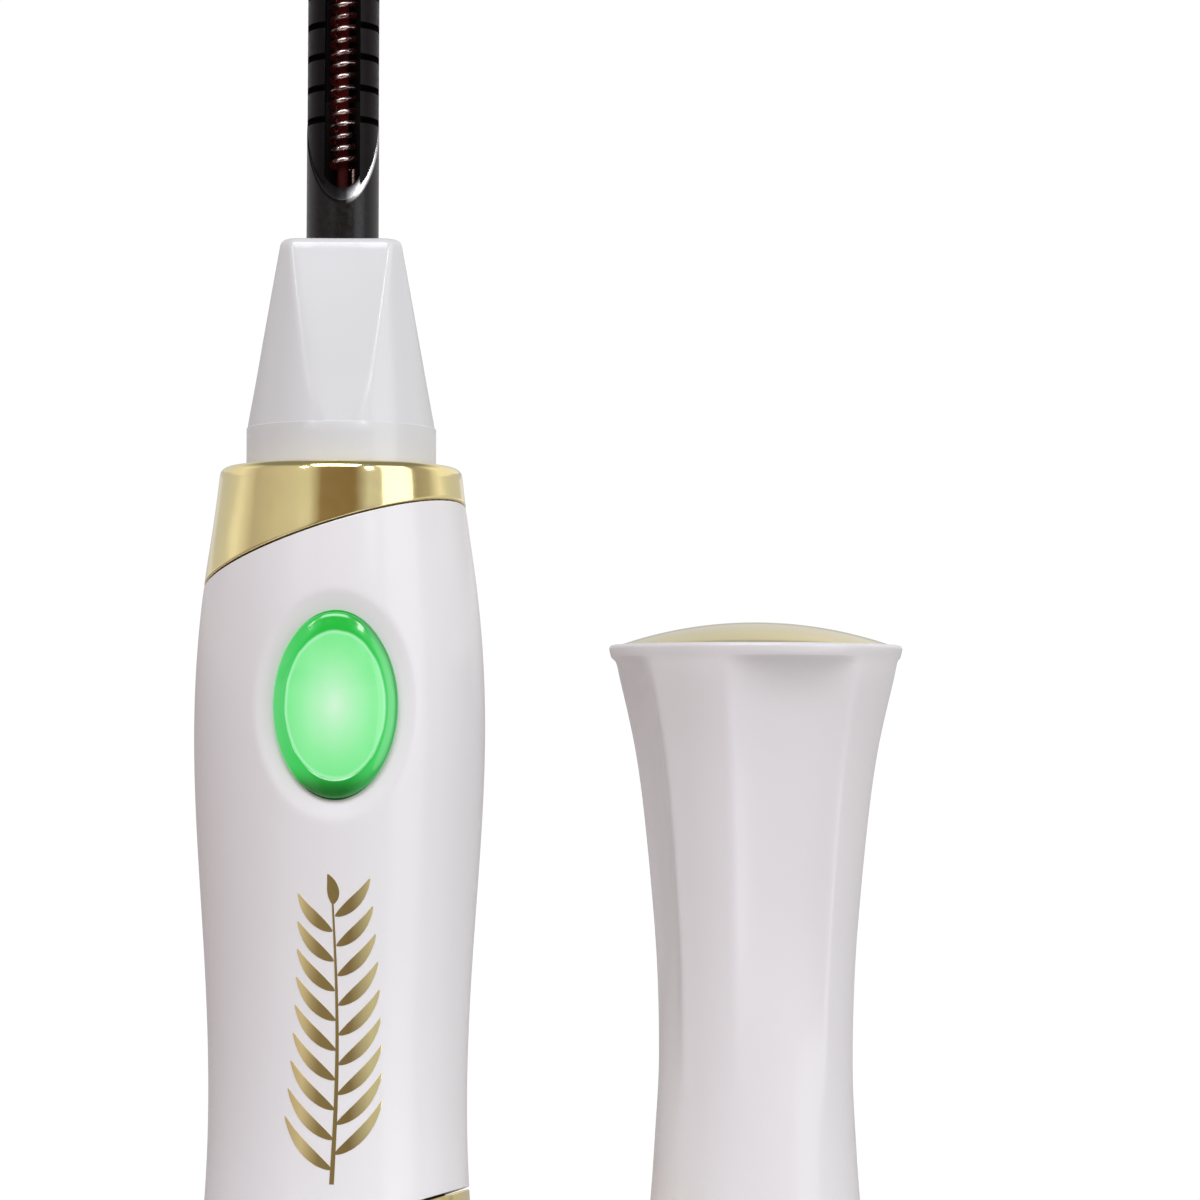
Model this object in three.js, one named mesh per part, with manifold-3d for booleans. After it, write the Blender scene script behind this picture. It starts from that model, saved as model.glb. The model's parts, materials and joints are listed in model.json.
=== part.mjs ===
// Battery-heated eyelash curler: a wand with a heated comb head, standing on its gold base,
// and its pull-off cap standing beside it. Units are millimetres, +Z is up, the front (button
// side) faces -Y, and the origin is the middle of the base's underside.
//
// Groups, from the bottom: base (battery door), battery, handle, button and switch, neck,
// heated head, cap. Every mesh is one physical piece.

import * as THREE from "three";
import { mergeVertices } from "three/addons/utils/BufferGeometryUtils.js";
import Module from "manifold-3d";

const wasm = await Module();
wasm.setup();

// ---------- driving dimensions ----------

const SEGMENTS = 36; // facets round the large bodies
const GAP = 0.25; // visible joint line between two trims
const FIT = 0.2; // radial clearance of a push fit
const TOUCH = 0.05; // hairline left between two parts that are mounted face to face
const BEYOND = 60; // how far a cutting tool reaches past the part it cuts

// Outline of the whole closed handle, radius against height.
const OUTLINE = [
  [11.05, 0.8], [10.82, 3], [10.42, 6], [10.0, 10.3], [9.79, 14.5], [9.77, 20.8], [10.2, 29.9],
  [10.8, 39], [11.0, 46], [10.78, 52], [10.25, 57.2], [9.6, 61.7], [9.2, 64.8],
];
const BASE_EDGE_R = 10.5; // flat underside of the base, inside its rounded edge
const BASE_ROUNDING = [10.92, 0.32]; // half-way point of that edge
const SHOULDER = [[8.95, 65.3], [8.6, 65.6]]; // rounded top edge of the collar
const BORE_R = 8.3; // bore of the base, the handle sleeve and the collar
const SLANT_X = 0.312; // rise of both slanted joint lines towards +X
const SLANT_Y = -0.158; // and towards +Y
const LOWER_SLANT_Z = 8.3; // height of the base's slanted edge on the axis
const UPPER_SLANT_Z = 59.65; // height of the collar's slanted edge on the axis
const COLLAR_TOP_Z = SHOULDER[1][1];

const NECK_BAND_R = 7.2; // round band that the cap grips
const NECK_BAND_TOP_Z = 68.6;
const NECK_TOP_Z = 82.6;
const NECK_CONE = [7.15, 5.9]; // cone radius at the band and at the top
const NECK_FACET = [7.12, 4.58]; // distance of the four flats from the axis, likewise

const BARREL_R = 2.75;
const BARREL_BORE_R = 2.2;
const BARREL_SEAT_R = BARREL_R + 0.15; // bore that the barrel is held in
const BARREL_BOTTOM_Z = 70.5;
const BEVEL_MID_Z = 91.7; // oblique end of the barrel sleeve, on the axis
const BEVEL_SLOPE = 2.185; // its rise towards +Y
const COMB_R = 2.72;
const COMB_TOP_Z = 110.4;
const TIP_Z = 114;
const TOOTH_PITCH = 2.4;
const TOOTH_SLOTS = 7;
const FIRST_SLOT_Z = 91.9;
const SLOT_WIDTH = 0.55;
const CHANNEL_HALF = 1.35; // half width of the channel that the coil lies in
const COIL_Y = -0.5; // the coil lies a little in front of the barrel's axis
const COIL_R = 0.83;
const COIL_WIRE_R = 0.22;
const COIL_BOTTOM_Z = 88.3;
const COIL_PITCH = 0.915;
const COIL_TURNS = 21;
const COIL_TAIL = 10; // straight end of the wire that runs down inside the barrel
const CORE_R = 0.42;

const BUTTON_Z = 47.6;
const BUTTON = [4.55, 6.75]; // half width and half height of the oval button
const BUTTON_FLANGE = [5.1, 7.65];
const BUTTON_WELL = [3.55, 5.75]; // hollow of the lens
const BUTTON_APEX_Y = -11.3;
const DISH = [6.6, 9.0]; // oval dish in the sleeve round the button
const DISH_DEPTH = 1.1; // depth that the dish would reach at its centre

const CELL_R = 5.25; // AAA cell, 10.5 x 44.5
const CELL_Y = 1.3;
const CELL_BOTTOM_Z = 8;
const CELL_CAN_HEIGHT = 43.5;
const CELL_NUB = [1.9, 1.0]; // radius and height of the positive nub

const CAP_X = 31.43; // axis of the cap, standing beside the wand
const CAP_RIM_Z = 52.3;
const CAP_BORE_R = 5.2;
const CAP_ROOF_Z = 49.8;
const FLUTE_COUNT = 4;
const FLUTE_CENTRE = THREE.MathUtils.degToRad(11); // the cap happens to stand turned by this much
const FLUTE_HALF = THREE.MathUtils.degToRad(27.75);
const CAP_OUTLINE = [
  [8.9, 0.3], [8.55, 3.4], [8.18, 7.2], [7.88, 10.3], [7.65, 13.3], [7.46, 17], [7.42, 20.8],
  [7.5, 25], [7.68, 29], [8.0, 33], [8.6, 39], [9.5, 45.1], [10.3, 48.6], [10.75, 50.4],
  [11.0, 51.4], [11.05, 51.9],
];

// ---------- finishes ----------

const finish = (color, roughness, metalness, more = {}) =>
  new THREE.MeshStandardMaterial({ color, roughness, metalness, ...more });
const whitePlastic = finish(0xf1eef2, 0.22, 0);
const goldPlating = finish(0xd8bf7c, 0.16, 1);
const blackPlastic = finish(0x1b1718, 0.35, 0);
const greyPlastic = finish(0x6d6f73, 0.5, 0);
const insulator = finish(0xd9d2c4, 0.55, 0);
const ceramic = finish(0x3a0f0c, 0.6, 0);
const heaterWire = finish(0x7a4038, 0.3, 1);
const steel = finish(0xb9bbbe, 0.3, 1);
const rubber = finish(0x161616, 0.8, 0);
const greenLens = finish(0x2fd45a, 0.08, 0, { transparent: true, opacity: 0.7 });
const greenGlow = finish(0xb4f6c3, 0.4, 0);
const boardGreen = finish(0x1d5b37, 0.45, 0);
const cellWrap = finish(0x2b2d33, 0.3, 0.2);
const redWire = finish(0xa3221d, 0.45, 0);
const blackWire = finish(0x1c1c1e, 0.45, 0);

// ---------- shape helpers ----------

const group = new THREE.Group();

function add(name, shape, material) {
  const geometry = shape.isBufferGeometry ? shape : geometryOf(shape);
  const mesh = new THREE.Mesh(geometry, material);
  mesh.name = name;
  group.add(mesh);
  return mesh;
}

function solidOf(geometry) {
  const bare = geometry.clone();
  bare.deleteAttribute("normal");
  bare.deleteAttribute("uv");
  const merged = mergeVertices(bare, 1e-4);
  return new wasm.Manifold(
    new wasm.Mesh({
      numProp: 3,
      vertProperties: new Float32Array(merged.attributes.position.array),
      triVerts: new Uint32Array(merged.index.array),
    }),
  );
}

function geometryOf(solid) {
  const mesh = solid.getMesh();
  const geometry = new THREE.BufferGeometry();
  geometry.setAttribute("position", new THREE.BufferAttribute(Float32Array.from(mesh.vertProperties), 3));
  geometry.setIndex(new THREE.BufferAttribute(Uint32Array.from(mesh.triVerts), 1));
  geometry.computeVertexNormals();
  return geometry;
}

// A closed profile of [radius, z] points, counter-clockwise, turned about the Z axis.
function turned(profile, segments = SEGMENTS) {
  const points = profile.map(([r, z]) => new THREE.Vector2(r, z));
  return new THREE.LatheGeometry(points, segments).rotateX(Math.PI / 2);
}

const turnedSolid = (profile, segments) => solidOf(turned(profile, segments));

// A round bar along Z, centred on (x, y), from z0 to z1; r1 differs from r0 for a cone.
function bar(r0, z0, z1, { x = 0, y = 0, r1 = r0, segments = 24 } = {}) {
  const geometry = new THREE.CylinderGeometry(r1, r0, z1 - z0, segments).rotateX(Math.PI / 2);
  return solidOf(geometry.translate(x, y, (z0 + z1) / 2));
}

// A box between two corners.
function box([x0, y0, z0], [x1, y1, z1]) {
  const geometry = new THREE.BoxGeometry(x1 - x0, y1 - y0, z1 - z0);
  return solidOf(geometry.translate((x0 + x1) / 2, (y0 + y1) / 2, (z0 + z1) / 2));
}

// An oval plate across Y, from y0 (front) to y1 (back), centred on height z.
function oval([a, c], y0, y1, z, segments = 24) {
  const outline = new THREE.Shape().absellipse(0, 0, a, c, 0, 2 * Math.PI);
  const geometry = new THREE.ExtrudeGeometry(outline, {
    depth: y1 - y0, bevelEnabled: false, curveSegments: segments,
  });
  return solidOf(geometry.rotateX(Math.PI / 2).translate(0, y1, z));
}

// A wide block whose lower (or, with up = false, upper) face is a joint's slanted plane.
function slantedBlock(height, up) {
  const depth = 80;
  const block = new THREE.BoxGeometry(BEYOND, BEYOND, depth).translate(0, 0, up ? depth / 2 : -depth / 2);
  const shear = new THREE.Matrix4().set(1, 0, 0, 0, 0, 1, 0, 0, SLANT_X, SLANT_Y, 1, height, 0, 0, 0, 1);
  return solidOf(block.applyMatrix4(shear));
}

// A wire or cable of round section along a curve.
function tubeAlong(curve, radius, steps, sides) {
  const section = new THREE.Shape();
  for (let i = 0; i < sides; i++) {
    const angle = (2 * Math.PI * i) / sides;
    const point = [radius * Math.cos(angle), radius * Math.sin(angle)];
    if (i) section.lineTo(...point);
    else section.moveTo(...point);
  }
  return new THREE.ExtrudeGeometry(section, { steps, extrudePath: curve, curveSegments: 1 });
}

const smoothPath = (points) => new THREE.CatmullRomCurve3(points.map((p) => new THREE.Vector3(...p)));

const smoothstep = (from, to, value) => THREE.MathUtils.smoothstep(value, from, to);

// Outline of [radius, z] points as a smooth curve, sampled with both ends kept.
function smoothOutline(points, samples) {
  return new THREE.SplineCurve(points.map(([r, z]) => new THREE.Vector2(r, z)))
    .getPoints(samples)
    .map((p) => [p.x, p.y]);
}

// Moves each vertex of a turned body along its radius: change(radius, angle, z) gives the new
// radius, with the angle counted from the front (-Y) towards +X.
function reshaped(geometry, change) {
  const position = geometry.attributes.position;
  for (let i = 0; i < position.count; i++) {
    const x = position.getX(i);
    const y = position.getY(i);
    const z = position.getZ(i);
    const radius = Math.hypot(x, y);
    if (radius < 1e-6) continue;
    const scale = change(radius, Math.atan2(x, -y), z) / radius;
    position.setXY(i, x * scale, y * scale);
  }
  return geometry;
}

// Helix about Z with an optional straight tail below it; the radius may taper from r0 to r1.
class Helix extends THREE.Curve {
  constructor({ r0, r1 = r0, z0, pitch, turns, x = 0, y = 0, tail = 0 }) {
    super();
    Object.assign(this, { r0, r1, z0, pitch, turns, x, y, tail });
    this.coiled = turns * Math.hypot(2 * Math.PI * ((r0 + r1) / 2), pitch);
  }
  getPoint(t, target = new THREE.Vector3()) {
    const along = t * (this.coiled + this.tail) - this.tail;
    if (along < 0) return target.set(this.x + this.r0, this.y, this.z0 + along);
    const turn = (along / this.coiled) * this.turns;
    const r = THREE.MathUtils.lerp(this.r0, this.r1, along / this.coiled);
    const angle = 2 * Math.PI * turn;
    return target.set(this.x + r * Math.cos(angle), this.y + r * Math.sin(angle), this.z0 + this.pitch * turn);
  }
}

// Solid body inside the handle's outline, between two heights that the outline covers.
const handleBody = turnedSolid([
  [0, 0], [BASE_EDGE_R, 0], BASE_ROUNDING, ...smoothOutline(OUTLINE, 13), ...SHOULDER, [0, COLLAR_TOP_Z],
]);

// ---------- base: the battery door that the wand stands on ----------

const BASE_FLOOR = 1.0;
const PLUG_R = BORE_R - FIT;
const PLUG_TOP_Z = 14.8;
const PLUG_CHAMFER = 0.5;
const SPRING_WELL_R = 4.3;
const SPRING_WELL_Z = 2.4;
const CELL_WELL_Z = 6;
const CELL_WELL_R = CELL_R + 0.2;
const RING_GROOVE = { z: 13.2, half: 0.7, bottomR: 7.1 };
const O_RING = { r: 7.7, tube: 0.5 };
const SHEET = 0.25; // thickness of the stamped contact under the spring
const RISER = { x: -6.15, thickness: 0.3, y0: -1, y1: 1 }; // contact strip up the plug's side
const RISER_PLAY = 0.2; // room round the strip in its slot
const CONTACT_R = 3.9;
const CONTACT_Z = [SPRING_WELL_Z + TOUCH, SPRING_WELL_Z + TOUCH + SHEET];
const SPRING = { r0: 3.4, r1: 1.9, z0: SPRING_WELL_Z + 0.65, pitch: 1.06, turns: 4, y: CELL_Y };
const SPRING_WIRE_R = 0.28;

function buildBase() {
  const shell = handleBody
    .subtract(slantedBlock(LOWER_SLANT_Z - GAP / 2, true))
    .subtract(bar(BORE_R, BASE_FLOOR, BEYOND, { segments: SEGMENTS }));
  add("base_shell", shell, goldPlating);

  const grooveZ = [RING_GROOVE.z - RING_GROOVE.half, RING_GROOVE.z + RING_GROOVE.half];
  const groove = turnedSolid([
    [RING_GROOVE.bottomR, grooveZ[0]], [PLUG_R + 1, grooveZ[0]], [PLUG_R + 1, grooveZ[1]],
    [RING_GROOVE.bottomR, grooveZ[1]], [RING_GROOVE.bottomR, grooveZ[0]],
  ]);
  const slotFloor = SPRING_WELL_Z - RISER_PLAY;
  const riserSlot = box(
    [RISER.x - RISER.thickness - RISER_PLAY, RISER.y0 - RISER_PLAY, slotFloor],
    [RISER.x + RISER_PLAY, RISER.y1 + RISER_PLAY, PLUG_TOP_Z + 1],
  );
  const linkSlot = box(
    [RISER.x - RISER.thickness - RISER_PLAY, RISER.y0 - RISER_PLAY, slotFloor],
    [0, RISER.y1 + RISER_PLAY, CONTACT_Z[1] + RISER_PLAY],
  );
  const plug = turnedSolid([
    [0, BASE_FLOOR + GAP], [PLUG_R, BASE_FLOOR + GAP], [PLUG_R, PLUG_TOP_Z - PLUG_CHAMFER],
    [PLUG_R - PLUG_CHAMFER, PLUG_TOP_Z], [0, PLUG_TOP_Z],
  ])
    .subtract(groove)
    .subtract(bar(CELL_WELL_R, CELL_WELL_Z, PLUG_TOP_Z + 1, { y: CELL_Y, segments: SEGMENTS }))
    .subtract(bar(SPRING_WELL_R, SPRING_WELL_Z, CELL_WELL_Z + 1, { y: CELL_Y }))
    .subtract(riserSlot)
    .subtract(linkSlot);
  add("base_plug", plug, greyPlastic);

  const ring = new THREE.TorusGeometry(O_RING.r, O_RING.tube, 6, SEGMENTS).translate(0, 0, RING_GROOVE.z);
  add("base_o_ring", ring, rubber);

  const disc = bar(CONTACT_R, ...CONTACT_Z, { y: CELL_Y });
  const link = box([RISER.x, RISER.y0, CONTACT_Z[0]], [CELL_Y - CONTACT_R / 2, RISER.y1, CONTACT_Z[1]]);
  const riser = box([RISER.x - RISER.thickness, RISER.y0, CONTACT_Z[0]], [RISER.x, RISER.y1, PLUG_TOP_Z + GAP]);
  add("negative_contact", disc.add(link).add(riser), steel);
  add("negative_spring", tubeAlong(new Helix(SPRING), SPRING_WIRE_R, 44, 6), steel);
}

// ---------- battery: one AAA cell, positive end up ----------

const CAN_EDGE = [0.4, 0.5]; // chamfers of the can's lower and upper edge
const NUB_FLANGE = { out: 0.6, low: TOUCH, high: 0.25 }; // pressed rim round the nub, above the can
const NUB_EDGE = 0.2;

function buildBattery() {
  const canTop = CELL_BOTTOM_Z + CELL_CAN_HEIGHT;
  const [lowEdge, highEdge] = CAN_EDGE;
  const can = turned([
    [0, CELL_BOTTOM_Z], [CELL_R - lowEdge, CELL_BOTTOM_Z], [CELL_R, CELL_BOTTOM_Z + lowEdge],
    [CELL_R, canTop - highEdge], [CELL_R - highEdge, canTop], [0, canTop],
  ], 32).translate(0, CELL_Y, 0);
  add("battery_cell", can, cellWrap);
  const [nubR, nubHeight] = CELL_NUB;
  const flangeR = nubR + NUB_FLANGE.out;
  const nub = turned([
    [0, canTop + NUB_FLANGE.low], [flangeR, canTop + NUB_FLANGE.low], [flangeR, canTop + NUB_FLANGE.high],
    [nubR, canTop + NUB_FLANGE.high], [nubR, canTop + nubHeight - NUB_EDGE],
    [nubR - NUB_EDGE, canTop + nubHeight], [0, canTop + nubHeight],
  ], 20).translate(0, CELL_Y, 0);
  add("battery_positive_cap", nub, steel);
}

// ---------- handle: sleeve, collar, chassis and electronics ----------

const COLLAR_LIP = { r: 7.4, z: 64.4 }; // opening round the neck's band, and the lip's underside
const CHASSIS_R = PLUG_R;
const CHASSIS_Z = [15.4, 54.4];
const CHASSIS_FRONT_Y = -4.25;
const CHASSIS_WINDOW = { x: 4, y: [-2.2, 3.4], z: [20, 50] }; // opening in each side wall
const CELL_BORE_R = CELL_R + 0.15;
const CELL_BORE_TOP_Z = 52.95;
const RAIL_Z = [15.45, 52.8];
const POSITIVE = { r: 3.4, half: 1, thickness: 0.28, back: 0.3, tabY: -3.85, topZ: 54.9 };
const POSITIVE_TOP_Z = CELL_BORE_TOP_Z - 0.1;
const TAB_SLOT = { half: 1.3, y: [-4.6, -3.3], depth: 1.2 };
const BOARD = { half: 4.8, y0: -5.2, y1: -4.45, z0: 26, z1: 54.8 };
const BOARD_LEDGE = { half: 3.6, y: -5.1, z: [23.6, 25.7] };
const BOARD_SCREWS = [-3.9, 3.9];
const BOARD_SCREW_Z = 28;
const SCREW = { headR: 1.1, headHeight: 0.6, shankR: 0.6, shankLength: 2.1, cross: [1.4, 0.3], recess: 0.3 };
const SCREW_HOLE_R = { board: 0.9, chassis: 0.72, depth: 2 };

// Radius lost to the oval dish round the button, at an angle and height of the sleeve.
function dishDepth(radius, angle, z) {
  if (Math.abs(angle) > Math.PI / 2) return 0;
  const across = (radius * Math.sin(angle)) / DISH[0];
  const up = (z - BUTTON_Z) / DISH[1];
  return DISH_DEPTH * Math.max(0, 1 - across * across - up * up);
}

function buildSleeve() {
  const [lowest, highest] = [2, OUTLINE.at(-1)[1]]; // both hidden behind the slanted cuts
  const outer = turned([
    [0, lowest], ...smoothOutline(OUTLINE, 19).filter(([, z]) => z > lowest), [0, highest],
  ], 44);
  const dished = reshaped(outer, (radius, angle, z) => radius - dishDepth(radius, angle, z));
  const hole = oval([BUTTON[0] + FIT, BUTTON[1] + FIT], BUTTON_APEX_Y - 2, -BORE_R / 2, BUTTON_Z);
  const sleeve = solidOf(dished)
    .subtract(slantedBlock(UPPER_SLANT_Z - GAP / 2, true))
    .subtract(slantedBlock(LOWER_SLANT_Z + GAP / 2, false))
    .subtract(bar(BORE_R, 0, COLLAR_TOP_Z, { segments: SEGMENTS }))
    .subtract(hole);
  add("handle_sleeve", sleeve, whitePlastic);
}

function buildCollar() {
  const [low, high] = [UPPER_SLANT_Z / 2, COLLAR_TOP_Z + 1];
  const bore = turnedSolid([
    [0, low], [BORE_R, low], [BORE_R, COLLAR_LIP.z], [COLLAR_LIP.r, COLLAR_LIP.z], [COLLAR_LIP.r, high], [0, high],
  ]);
  const collar = handleBody.subtract(slantedBlock(UPPER_SLANT_Z + GAP / 2, false)).subtract(bore);
  add("collar_ring", collar, goldPlating);
}

// A round hole along Y through the board or the chassis, at a screw.
function screwHole(x, y, radius) {
  const hole = new THREE.CylinderGeometry(radius, radius, SCREW_HOLE_R.depth, 14);
  return solidOf(hole.translate(x, y, BOARD_SCREW_Z));
}

function buildChassis() {
  const [bottom, top] = CHASSIS_Z;
  const far = CHASSIS_R + 1;
  let chassis = bar(CHASSIS_R, bottom, top, { segments: SEGMENTS })
    .subtract(box([-far, -far, bottom - 1], [far, CHASSIS_FRONT_Y, top + 1]))
    .subtract(bar(CELL_BORE_R, bottom - 1, CELL_BORE_TOP_Z, { y: CELL_Y, segments: SEGMENTS }));
  const { x: windowX, y: [y0, y1], z: [z0, z1] } = CHASSIS_WINDOW;
  for (const [x0, x1] of [[windowX, far], [-far, -windowX]]) {
    chassis = chassis.subtract(box([x0, y0, z0], [x1, y1, z1]));
  }
  const railChannel = box(
    [-far, RISER.y0 - RISER_PLAY, bottom - 1],
    [RISER.x + RISER_PLAY, RISER.y1 + RISER_PLAY, RAIL_Z[1] + RISER_PLAY],
  );
  const tabSlot = box(
    [-TAB_SLOT.half, TAB_SLOT.y[0], CELL_BORE_TOP_Z - TAB_SLOT.depth], [TAB_SLOT.half, TAB_SLOT.y[1], top + 1],
  );
  chassis = chassis.subtract(railChannel).subtract(tabSlot);
  for (const x of BOARD_SCREWS) {
    chassis = chassis.subtract(screwHole(x, CHASSIS_FRONT_Y + TOUCH, SCREW_HOLE_R.chassis));
  }
  const ledge = box(
    [-BOARD_LEDGE.half, BOARD_LEDGE.y, BOARD_LEDGE.z[0]],
    [BOARD_LEDGE.half, CHASSIS_FRONT_Y + 0.3, BOARD_LEDGE.z[1]],
  );
  add("chassis", chassis.add(ledge), insulator);

  const rail = box([RISER.x - RISER.thickness, RISER.y0, RAIL_Z[0]], [RISER.x, RISER.y1, RAIL_Z[1]]);
  add("negative_rail", rail, steel);

  const { half, tabY, thickness, back } = POSITIVE;
  const plateZ = POSITIVE_TOP_Z - thickness;
  const plate = bar(POSITIVE.r, plateZ, POSITIVE_TOP_Z, { y: CELL_Y });
  const arm = box([-half, tabY, plateZ], [half, 0, POSITIVE_TOP_Z]);
  const tab = box([-half, tabY, plateZ], [half, tabY + back, POSITIVE.topZ]);
  add("positive_contact", plate.add(arm).add(tab), steel);
}

// A block soldered to the board's front: position, then width, height and depth.
function onBoard(x, z, [width, height, depth]) {
  const back = BOARD.y0 - TOUCH;
  return box([x - width / 2, back - depth, z - height / 2], [x + width / 2, back, z + height / 2]);
}

const CHIP = [4, 3.2, 0.9];
const INDUCTOR = [4.4, 4.4, 1.6];
const CAPACITOR = [1.3, 2.2, 1.1];
const LED = [2, 1.2, 0.7];
const LED_OFFSET = 4.3; // above and below the switch
const CHIP_Z = 37.2;
const INDUCTOR_Z = 32.4;
const SWITCH = [4.5, 4.5, 1.45];
const SWITCH_WELL_R = 1.0;
const PLUNGER_R = 0.85;
const PLUNGER_Y = [-7.1, -6.25]; // front and back of the plunger
const SWITCH_FRONT_Y = BOARD.y0 - 1.5;

function buildElectronics() {
  let board = box([-BOARD.half, BOARD.y0, BOARD.z0], [BOARD.half, BOARD.y1, BOARD.z1]);
  for (const x of BOARD_SCREWS) board = board.subtract(screwHole(x, BOARD.y0, SCREW_HOLE_R.board));
  add("circuit_board", board, boardGreen);

  const { headR, headHeight, shankR, shankLength, cross: [long, wide], recess } = SCREW;
  const headY = BOARD.y0 - TOUCH - headHeight;
  BOARD_SCREWS.forEach((x, i) => {
    const head = new THREE.CylinderGeometry(headR, headR, headHeight, 16).translate(0, headY + headHeight / 2, 0);
    const shank = new THREE.CylinderGeometry(shankR, shankR, shankLength, 12);
    const slots = [[long, wide], [wide, long]].map(([width, height]) =>
      solidOf(new THREE.BoxGeometry(width, 2 * recess, height).translate(0, headY, 0)),
    );
    const screw = solidOf(head)
      .add(solidOf(shank.translate(0, headY + headHeight + shankLength / 2 - TOUCH, 0)))
      .subtract(slots[0].add(slots[1]));
    add(`board_screw_${i + 1}`, geometryOf(screw).translate(x, 0, BOARD_SCREW_Z), steel);
  });

  add("control_chip", onBoard(0, CHIP_Z, CHIP), blackPlastic);
  add("boost_inductor", onBoard(0, INDUCTOR_Z, INDUCTOR), greyPlastic);
  add("capacitor", onBoard(3.5, CHIP_Z, CAPACITOR), insulator);
  add("led_upper", onBoard(0, BUTTON_Z + LED_OFFSET, LED), greenGlow);
  add("led_lower", onBoard(0, BUTTON_Z - LED_OFFSET, LED), greenGlow);

  const well = new THREE.CylinderGeometry(SWITCH_WELL_R, SWITCH_WELL_R, 2, 20).translate(0, SWITCH_FRONT_Y, BUTTON_Z);
  add("switch_housing", onBoard(0, BUTTON_Z, SWITCH).subtract(solidOf(well)), blackPlastic);
}

// ---------- power button and its switch ----------

const DOME_DEPTH = 1.3; // how far the lens is domed
const LENS_BACK_Y = -5.8;
const FLANGE_THICKNESS = 0.45;
const LENS_WALL = 1.2; // thickness of the lens at its crown
const DIFFUSER = { gap: 0.2, y: [BUTTON_APEX_Y + 1.4, -9.0], stemR: 0.8 };

function buildButton() {
  const shoulderY = BUTTON_APEX_Y + DOME_DEPTH;
  const dome = new THREE.SphereGeometry(1, 24, 12).scale(BUTTON[0], DOME_DEPTH, BUTTON[1]);
  const lens = oval(BUTTON, shoulderY, LENS_BACK_Y, BUTTON_Z)
    .add(solidOf(dome.translate(0, shoulderY, BUTTON_Z)))
    .add(oval(BUTTON_FLANGE, LENS_BACK_Y - FLANGE_THICKNESS, LENS_BACK_Y, BUTTON_Z))
    .subtract(oval(BUTTON_WELL, BUTTON_APEX_Y + LENS_WALL, LENS_BACK_Y + 1, BUTTON_Z));
  add("button_lens", lens, greenLens);

  const plateSize = BUTTON_WELL.map((half) => half - DIFFUSER.gap);
  const [plungerFront, plungerBack] = PLUNGER_Y;
  const stemEnd = plungerFront - TOUCH;
  const stemRoot = DIFFUSER.y[1] - 0.5;
  const stem = new THREE.CylinderGeometry(DIFFUSER.stemR, DIFFUSER.stemR, stemEnd - stemRoot, 20);
  const plate = oval(plateSize, ...DIFFUSER.y, BUTTON_Z);
  add("button_diffuser", plate.add(solidOf(stem.translate(0, (stemEnd + stemRoot) / 2, BUTTON_Z))), greenGlow);

  const plunger = new THREE.CylinderGeometry(PLUNGER_R, PLUNGER_R, plungerBack - plungerFront, 20);
  add("switch_plunger", plunger.translate(0, (plungerFront + plungerBack) / 2, BUTTON_Z), greyPlastic);
}

// ---------- neck: faceted cone, heat-insulating bush, heater leads ----------

const SPIGOT_Z = [55.4, 64.1]; // part of the neck inside the handle
const NECK_TOP_EDGE = 0.45;
const NECK_BAND_STEP = 0.08; // tiny step from the band to the cone
const NECK_HOLLOW = [[6.9, 65], [6.0, 66.5], [3.95, 80.9]]; // bore of the neck up to the barrel's seat
const BOARD_NOTCH = { half: 5.4, y: -3.9, topZ: 59 };
const BUSH = { flangeR: 4.9, r: 3.7, z: [71.2, 72.2, 80.6], taper: 0.2 };
const LEAD_R = 0.38;
const LEAD_ROUTE = [ // of the lead on the +X side, from the board up into the barrel
  [3.9, -5.68, 53.7], [3.9, -5.68, 54.9], [3.6, -5.1, 56.4], [2.9, -3.2, 60], [1.5, -0.6, 66], [1.3, 0.4, 71],
  [1.3, 0.4, 76],
];

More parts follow.
